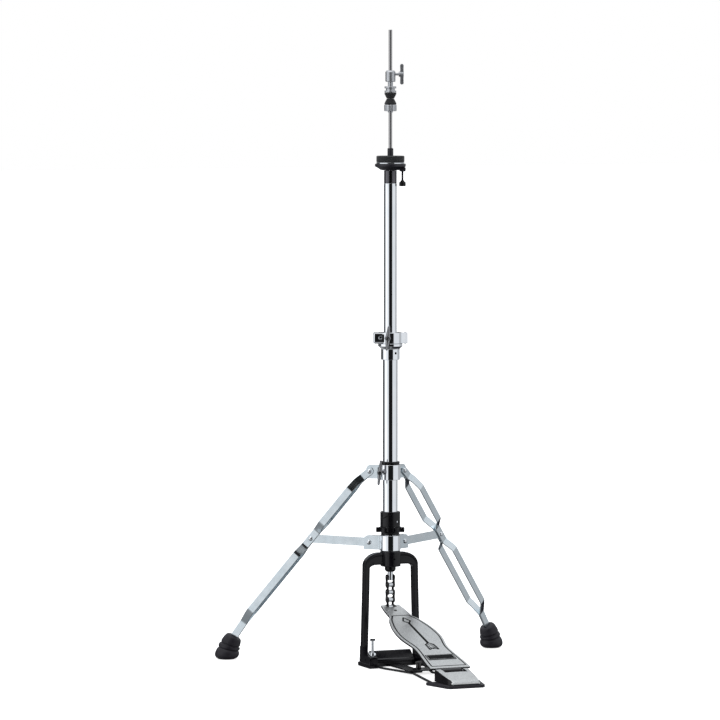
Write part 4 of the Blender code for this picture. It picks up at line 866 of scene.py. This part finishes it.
def leg_strip(name, label, side, azimuth, body):
    """One bent strip of a leg, swept along the leg's path while it bows away from its twin."""
    corners = [tuple(p) for p in (LEG_PIVOT, LEG_KNEE, LEG_ANKLE, LEG_END)]
    route = [Vector(p) for p in rounded(corners, 16, closed=False, steps=6)]
    stops = [0]
    for a, b in zip(route, route[1:]):
        stops.append(stops[-1] + (b - a).length)
    bow = bow_path()
    marks = {round(x, 2) for x in stops}
    for s, _ in bow:
        i = min(range(len(route)), key=lambda i: abs(along_main(route[i]) - s))
        mark = stops[i] + s - along_main(route[i])
        if 0 < mark < stops[-1]:
            marks.add(round(mark, 2))
    distances = [-STRIP_HALF * math.cos(math.radians(9 * i)) for i in range(1, 10)] + [0]
    distances += sorted(marks | {round(4 * i, 2) for i in range(1, int(stops[-1] / 4))})
    rings = []
    for d in distances:
        i = max(k for k in range(len(stops) - 1) if stops[k] <= max(d, 0))
        heading = (route[i + 1] - route[i]).normalized()
        here = route[i] + heading * (d - stops[i])
        wide = STRIP_HALF if d >= 0 else math.sqrt(max(0.01, STRIP_HALF ** 2 - d * d))
        offset, slope = bow_at(bow, along_main(here))
        tilt = math.atan(slope)
        across = Vector((-heading.y, 0, heading.x))
        out = Vector((-MAIN.x * math.sin(tilt), math.cos(tilt) * side, -MAIN.y * math.sin(tilt)))
        centre = Vector((here.x, side * offset, here.y))
        thick = STRIP_THICK / 2
        section = [(-wide, 0.5 - thick), (0.5 - wide, -thick), (wide - 0.5, -thick), (wide, 0.5 - thick),
                   (wide, thick - 0.5), (wide - 0.5, thick), (0.5 - wide, thick), (-wide, thick - 0.5)]
        rings.append([centre + across * w + out * t for w, t in section])
    turn = spin(azimuth)
    strip = mesh_from("leg_strip_" + name + "_" + label, [loft(rings)], "zinc", turn)
    carve(strip, [pin((LEG_PIVOT.x, -20, LEG_PIVOT.y), (LEG_PIVOT.x, 20, LEG_PIVOT.y), EAR_HOLE, 0)], turn)
    settle(strip, body, ["leg_" + name + "_" + label], 38)
    head = dome((MID_PIVOT.x, side * (2.5 + thick), MID_PIVOT.y), (0, side, 0), 4.1, 2.5)
    piece("mid_rivet_" + name + "_" + label, body, "bright_steel", [head], (), turn)


def boot(name, azimuth, body):
    """Rubber boot: a bulging lower lobe, a ring and a collar that lean over towards the leg."""
    # distance from the stand's axis, height, half width, and lean in degrees
    sections = [(290, 0, 9.5, 0), (290, 0.6, 14, 0), (289.9, 2.6, 18, 0.5),
                (289.6, 5.6, 20.3, 1.5), (289, 9, 21, 3), (288.2, 12, 20.6, 6),
                (287.4, 14.6, 19.8, 8.5), (286.8, 16.4, 18.9, 10.5), (286.4, 17.4, 17.6, 12),
                (286.1, 18.4, 17.2, 12.5), (285.8, 19.4, 17.8, 13), (285.4, 20.4, 18.8, 13.5),
                (284.6, 22.6, 18.8, 14.5), (284, 24.4, 17.9, 16), (283.6, 25.2, 16.2, 16.8),
                (283.2, 26.1, 15.8, 17), (282.8, 27, 16.3, 17.5), (282.3, 28.2, 17, 18.5),
                (280.8, 31.6, 16.3, 21), (278.8, 35, 15.3, 24), (277.2, 37.8, 14.2, 26.5),
                (276.2, 39.4, 12.8, 28), (275.6, 40.5, 10.2, 28)]
    rings = []
    for centre, height, half, lean in sections:
        lean = math.radians(lean)
        rings.append([(centre + x * math.cos(lean), 0.93 * y, height + x * math.sin(lean))
                      for x, y, _ in circle(half, 0, 40)])
    angle = math.atan2(LEG_END.y - LEG_ANKLE.y, LEG_END.x - LEG_ANKLE.x)
    length = (LEG_END - LEG_ANKLE).length
    slot = moved(block((0, -2.8, -6.7), (length + 0.4, 2.8, 6.7), 0.1),
                 shift(LEG_ANKLE.x, 0, LEG_ANKLE.y) @ Matrix.Rotation(-angle, 4, "Y"))
    piece("boot_" + name, body, "rubber", [loft(rings)], ["foot_" + name], spin(azimuth), [slot])


def tripod():
    strut = moved(slab(stadium(STRUT_PIVOT, MID_PIVOT, 7.25, 12), -1.15, 1.15, 0.35), STAND_UP)
    holes = [pin((p.x, -20, p.y), (p.x, 20, p.y), r, 0)
             for p, r in ((STRUT_PIVOT, EAR_HOLE), (MID_PIVOT, 3.6))]
    for name, azimuth in LEG_AZIMUTHS.items():
        body = "leg_" + name
        turn = spin(azimuth)
        leg_strip(name, "near", -1, azimuth, body)
        leg_strip(name, "far", 1, azimuth, body)
        boot(name, azimuth, body)
        piece("strut_bar_" + name, "brace_" + name, "zinc", [strut], ["strut_" + name], turn, holes)
        for place, grip, owner, node in ((LEG_PIVOT, 4.4, "tripod_slider", "leg_rivet_" + name),
                                         (STRUT_PIVOT, 3.95, "tripod_base", "strut_rivet_" + name)):
            shells = [pin((place.x, -grip, place.y), (place.x, grip, place.y), 2.6, 0)]
            shells += [dome((place.x, s * grip, place.y), (0, s, 0), 4.2, 2.8) for s in (-1, 1)]
            piece(node + "_steel", owner, "bright_steel", shells, [node], turn)


# ---- height lock and seat ----

def height_lock():
    receiver = turned([(20.7, 547.3), (20.7, 543, 0.8), (16.4, 539.2, 0.8), (15.9, 538), (15.9, 520.1),
                       (13, 520.1), (13, 547.3)], 96, 0.5)
    body = mesh_from("height_receiver_chrome", [receiver], "chrome")
    azimuth = math.radians(35)
    outward = Vector((math.sin(azimuth), -math.cos(azimuth), 0))
    rivet_at = outward * 15.9 + Vector((0, 0, 531.5))
    # a shallow hole at the rivet's place, its walls near-black: painted shade in the hole
    carve(body, [pin(rivet_at - outward * 1.4, rivet_at + outward * 3, 2.1, 0)], SIDE, "ink")
    settle(body, "base", ["height_receiver"])
    piece("height_bushing_ring", "base", "black_plastic", [tube(13, 11.3, 545.3, 565.6, 72)],
          ["height_bushing"])
    x, y, z = -4.6, -22, 557.5
    hinge_x, eye_x, eye_z = 25.5, -16.7, 558.0
    band = mesh_from("height_clamp_chrome", [tube(20, 13.3, 547.6, 566.1, 96, 0.8)], "chrome", SIDE)
    web = rounded([(12, -9.5), (27, -3.4), (27, 3), (12, 6)], 0.5)
    join(band, [pin((hinge_x, 0, 547.6), (hinge_x, 0, 566.1), 3.8, 0.6), slab(web, 547.9, 565.8, 0.5),
                block((-29, -17, 547.8), (-4, -3.2, 565.9), 3),
                block((-29, 3.2, 547.8), (-4, 15, 565.9), 1.6)], SIDE)
    carve(band, [pin((0, 0, 540), (0, 0, 575), 13.3, 0), block((-40, -2, 540), (-8, 2, 575), 0.2),
                 pin((x, -40, z), (x, -14.2, z), 2.9, 0),
                 pin((eye_x, -25, eye_z), (eye_x, -12, eye_z), 4.4, 0)], SIDE)
    settle(band, "base", ["height_clamp_band"])
    angles = [math.radians(20 + 12 * i) for i in range(27)]
    eye = swept([(eye_x + 3 * math.cos(a), -15.9, eye_z + 3 * math.sin(a)) for a in angles], 1.05, 10)
    piece("clamp_hinge_pin", "base", "bright_steel",
          [pin((hinge_x, 0, 546.9), (hinge_x, 0, 566.9), 1.7), eye], (), SIDE)
    nut = [turned([(0, 0), (5.2, 0), (4.6, 5.2), (3.6, 7.2), (2, 7.2), (2, 5.6), (0, 5.6)], 40, 0.5,
                  along((x, y, z), (x, y - 10, z))),
           pin((x, y + 7, z), (x, y, z), 2.5, 0.2),
           moved(spindle(42, 9.2, 3.5, 6.6, 5), shift(x, y - 3.5, z))]
    piece("height_wing_nut_steel", "height_wing", "grey_steel", nut, ["height_wing_nut"], SIDE)
    # a near-black plug in the nut's bore: painted shade where the bore is
    piece("height_wing_nut_bore_painted_shade", "height_wing", "ink", [pin((x, y - 4, z), (x, y - 7.5, z), 1.3, 0.1)], (),
          SIDE)


TILT_SCREW_X = 20.4
CLUTCH_SCREW_Z = 1002.5


def seat():
    neck = turned([(10.8, 840, 0.4), (10.8, 818.9), (9.5, 818.9), (9.5, 800.9), (4.2, 800.9),
                   (4.2, 840)], 72, 0.3)
    piece("tilter_neck_metal", "upper_stand", "black_nickel", [neck], ["tilter_neck"])
    cup = turned([(25.6, 851.4), (26, 850.8), (26, 847.2, 0.8), (21.5, 844.4, 0.8), (20.5, 843.8, 0.5),
                  (17, 841.2, 0.8), (12.6, 840.5), (4.35, 840.5), (4.35, 851.4)], 96, 0.4)
    body = mesh_from("seat_cup_plastic", [cup], "black_plastic_with_painted_light", SIDE)
    join(body, [block((15, -5.5, 838.5), (26, 5.5, 846), 2)], SIDE)
    carve(body, [pin((TILT_SCREW_X, 0, 830), (TILT_SCREW_X, 0, 848.5), 2.1, 0)], SIDE)
    settle(body, "seat", ["seat_cup"])
    washer = tube(23.7, 4.35, 851.7, 853.7, 96, 0.4)
    piece("seat_washer_steel", "seat", "bright_steel", [washer], ["seat_washer"])
    piece("seat_felt_pad", "seat", "felt", [tube(23.7, 5.3, 854, 864.9, 96, 1.6)], ["seat_felt"])
    sleeve = turned([(4.4, 877.8), (4.95, 876.6), (4.95, 854), (4.35, 854), (4.35, 877.8)], 48, 0.15)
    piece("seat_sleeve_plastic", "seat", "black_plastic_with_painted_light", [sleeve], ["seat_sleeve"])
    screw = [thread(1.8, 0.2, 0.7, 822, 846.5, 20), fluted(5.8, 0.5, 12, 813.5, 820.8),
             turned([(0, 820.2), (4.6, 820.2), (1.9, 824), (0, 824)], 32, 0.4)]
    piece("tilt_screw_knob", "seat_screw", "black_plastic", screw, ["tilt_screw"],
          SIDE @ shift(TILT_SCREW_X, 0, 0))


def clutch():
    body = turned([(6.4, 1008.7), (8.5, 1006.3), (8.5, 990.6), (7.6, 989.7), (4.3, 989.7), (4.3, 938),
                   (3.3, 938), (3.3, 1008.7)], 72, 0.4)
    obj = mesh_from("clutch_body_steel", [body], "satin_steel")
    carve(obj, [pin((3.8, 0, CLUTCH_SCREW_Z), (14, 0, CLUTCH_SCREW_Z), 2.6, 0)], SIDE)
    settle(obj, "clutch", ["clutch_body"])
    axis = along((4.4, 0, CLUTCH_SCREW_Z), (20, 0, CLUTCH_SCREW_Z))
    screw = [thread(2.2, 0.2, 0.8, 0, 10.5, 24, axis), fluted(4.5, 0.35, 14, 9.6, 13.4, 0.5, axis),
             turned([(0, 13), (4.4, 13), (3.6, 17.4), (2.4, 18.1), (0, 18.1)], 40, 0.5, axis),
             moved(wings(35, 3.2, 3.1, 2.9), shift(19.3, 0, CLUTCH_SCREW_Z))]
    piece("clutch_wing_screw_steel", "clutch_wing", "satin_steel", screw, ["clutch_wing_screw"], SIDE)
    nuts = [fluted(10, 0.3, 16, 971.8, 975, 0.5), fluted(10, 0.3, 16, 978.6, 982, 0.5),
            turned([(0, 974.6), (7.5, 974.6), (7.5, 979), (0, 979)], 48, 0.3)]
    piece("clutch_lock_nuts", "clutch", "satin_steel", nuts, ["clutch_upper_nuts"],
          cuts=[pin((0, 0, 960), (0, 0, 990), 4.6, 0)])
    upper = [(10, 971.5), (10, 969, 1), (6.2, 961.6, 0.8), (4.6, 961.6), (4.6, 971.5)]
    piece("clutch_felt_upper_pad", "clutch", "felt", [turned(upper, 64, 0.5)], ["clutch_felt_upper"])
    lower = [(6.2, 961.3, 0.8), (10, 953.7, 1), (10, 951.2), (4.6, 951.2), (4.6, 961.3)]
    piece("clutch_felt_lower_pad", "clutch", "felt", [turned(lower, 64, 0.5)], ["clutch_felt_lower"])
    piece("clutch_lower_nut_steel", "clutch_nut", "satin_steel", [fluted(10.5, 0.35, 18, 940.3, 950.9)],
          ["clutch_lower_nut"], cuts=[pin((0, 0, 930), (0, 0, 960), 4.6, 0)])


# ---- studio ----

def ramp(tree, value, low, high, *stops):
    """Grey levels that follow a value. The stops are pairs of a place from low to high, and a level."""
    node = tree.nodes.new("ShaderNodeValToRGB")
    elements = node.color_ramp.elements
    elements.remove(elements[-1])
    for i, (place, level) in enumerate(stops):
        position = (place - low) / (high - low)
        element = elements.new(position) if i else elements[0]
        element.position = position
        element.color = (level, level, level, 1)
    tree.links.new(value, node.inputs["Fac"])
    return node.outputs["Color"]


def compute(tree, operation, first, second):
    node = add(tree, "ShaderNodeMath", operation=operation)
    plug(tree, first, node.inputs[0])
    plug(tree, second, node.inputs[1])
    return node.outputs[0]


def studio():
    """White room with one dark card on the camera's side.

    Only upright chrome mirrors the card, because it stands low.
    """
    world = bpy.data.worlds.new("studio")
    bpy.context.scene.world = world
    world.use_nodes = True
    tree = world.node_tree
    turn = add(tree, "ShaderNodeVectorRotate", rotation_type="Z_AXIS", Angle=math.radians(-SIDE_AZIMUTH))
    split = add(tree, "ShaderNodeSeparateXYZ")
    tree.links.new(add(tree, "ShaderNodeTexCoord").outputs["Generated"], turn.inputs["Vector"])
    tree.links.new(turn.outputs["Vector"], split.inputs["Vector"])
    x, y, z = split.outputs
    # angle round the stand from the camera's direction: 0 is the camera, a quarter is to its right
    angle = compute(tree, "ARCTAN2", x, compute(tree, "MULTIPLY", y, -1.0))
    share = between(tree, angle, -math.pi, math.pi)
    wall = ramp(tree, share, -180, 180, (-180, 0.10), (-99, 0.10), (-93, 1.25), (-56, 1.25), (-48, 0.95),
                (-27, 0.92), (-22, 0.010), (31, 0.010), (36, 0.85), (94, 0.87), (101, 0.50), (172, 0.50),
                (180, 0.10))
    room = ramp(tree, between(tree, z, -1.0, 1.0), -1, 1, (-1.0, 0.08), (-0.7, 0.25), (-0.45, 0.45),
                (-0.2, 0.80), (0.2, 0.85), (0.5, 0.80), (1.0, 0.95))
    # only the card in front stands taller than the band of light and shade round the room
    band, card = 0.34, 0.92
    top = ramp(tree, share, -180, 180, (-180, band), (-27, band), (-22, card), (31, card), (36, band),
               (180, band))
    height = compute(tree, "MAXIMUM", compute(tree, "DIVIDE", z, top), compute(tree, "DIVIDE", z, -band))
    lift = between(tree, height, 0.80, 1.0, interpolation_type="SMOOTHSTEP")
    tinted = blend(tree, 1.0, blend(tree, lift, wall, room), (0.97, 1.0, 1.03, 1), "MULTIPLY")
    # a dark strip low behind the stand, which only faces that look outward and down can mirror
    back = ramp(tree, share, -180, 180, (-180, 1.0), (-172, 1.0), (-165, 0.0), (124, 0.0), (132, 1.0),
                (180, 1.0))
    low = between(tree, z, -0.10, -0.14, interpolation_type="SMOOTHSTEP")
    shaded = blend(tree, compute(tree, "MULTIPLY", back, low), tinted, (0.02, 0.02, 0.025, 1))
    to_camera = tree.nodes.new("ShaderNodeLightPath").outputs["Is Camera Ray"]
    tree.links.new(blend(tree, to_camera, shaded, (1, 1, 1, 1)), tree.nodes["Background"].inputs["Color"])

    mesh = bpy.data.meshes.new("studio_floor")
    mesh.from_pydata([(-30, -30, 0), (30, -30, 0), (30, 30, 0), (-30, 30, 0)], [], [(0, 1, 2, 3)])
    floor = put("studio_floor", mesh)
    material = bpy.data.materials.new("pale_floor")
    material.use_nodes = True
    values = {"Base Color": (0.96, 0.96, 0.96, 1), "Roughness": 0.9, "Specular IOR Level": 0.1,
              "Emission Color": (1, 1, 1, 1), "Emission Strength": 0.75}
    for socket, value in values.items():
        material.node_tree.nodes["Principled BSDF"].inputs[socket].default_value = value
    mesh.materials.append(material)
    floor.visible_glossy = False
    floor.visible_diffuse = False

    for name, place, target_z, side, power in (("overhead", (-0.8, -0.6, 3.2), 0.2, 3.0, 20),
                                               ("fill", (-2.6, -1.6, 2.4), 0.4, 1.6, 8)):
        light = bpy.data.lights.new(name, "AREA")
        light.shape = "RECTANGLE"
        light.size = light.size_y = side
        light.energy = power
        lamp = put(name, light)
        lamp.location = place
        towards = Vector((0, 0, target_z)) - Vector(place)
        lamp.rotation_euler = towards.to_track_quat("-Z", "Y").to_euler()


def camera():
    lens = bpy.data.cameras.new("camera")
    lens.lens = 236.69
    lens.sensor_width = 36.0
    lens.clip_end = 100.0
    eye = put("camera", lens)
    eye.location = (-3.1089, -7.3714, 1.053)
    eye.rotation_euler = (math.radians(86.183), 0.0, math.radians(SIDE_AZIMUTH))
    bpy.context.scene.camera = eye
    bpy.context.scene.view_settings.view_transform = "Standard"


for build in (camera, studio, tubes, u_frame, cross_bar, spurs, floor_rods, footboard, board_marks,
              toe_bracket, heel, chain, tension, collars, tripod, height_lock, seat, clutch):
    build()
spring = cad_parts["return_spring"].data
spring.materials.clear()
spring.materials.append(LOOKS["bright_steel"])
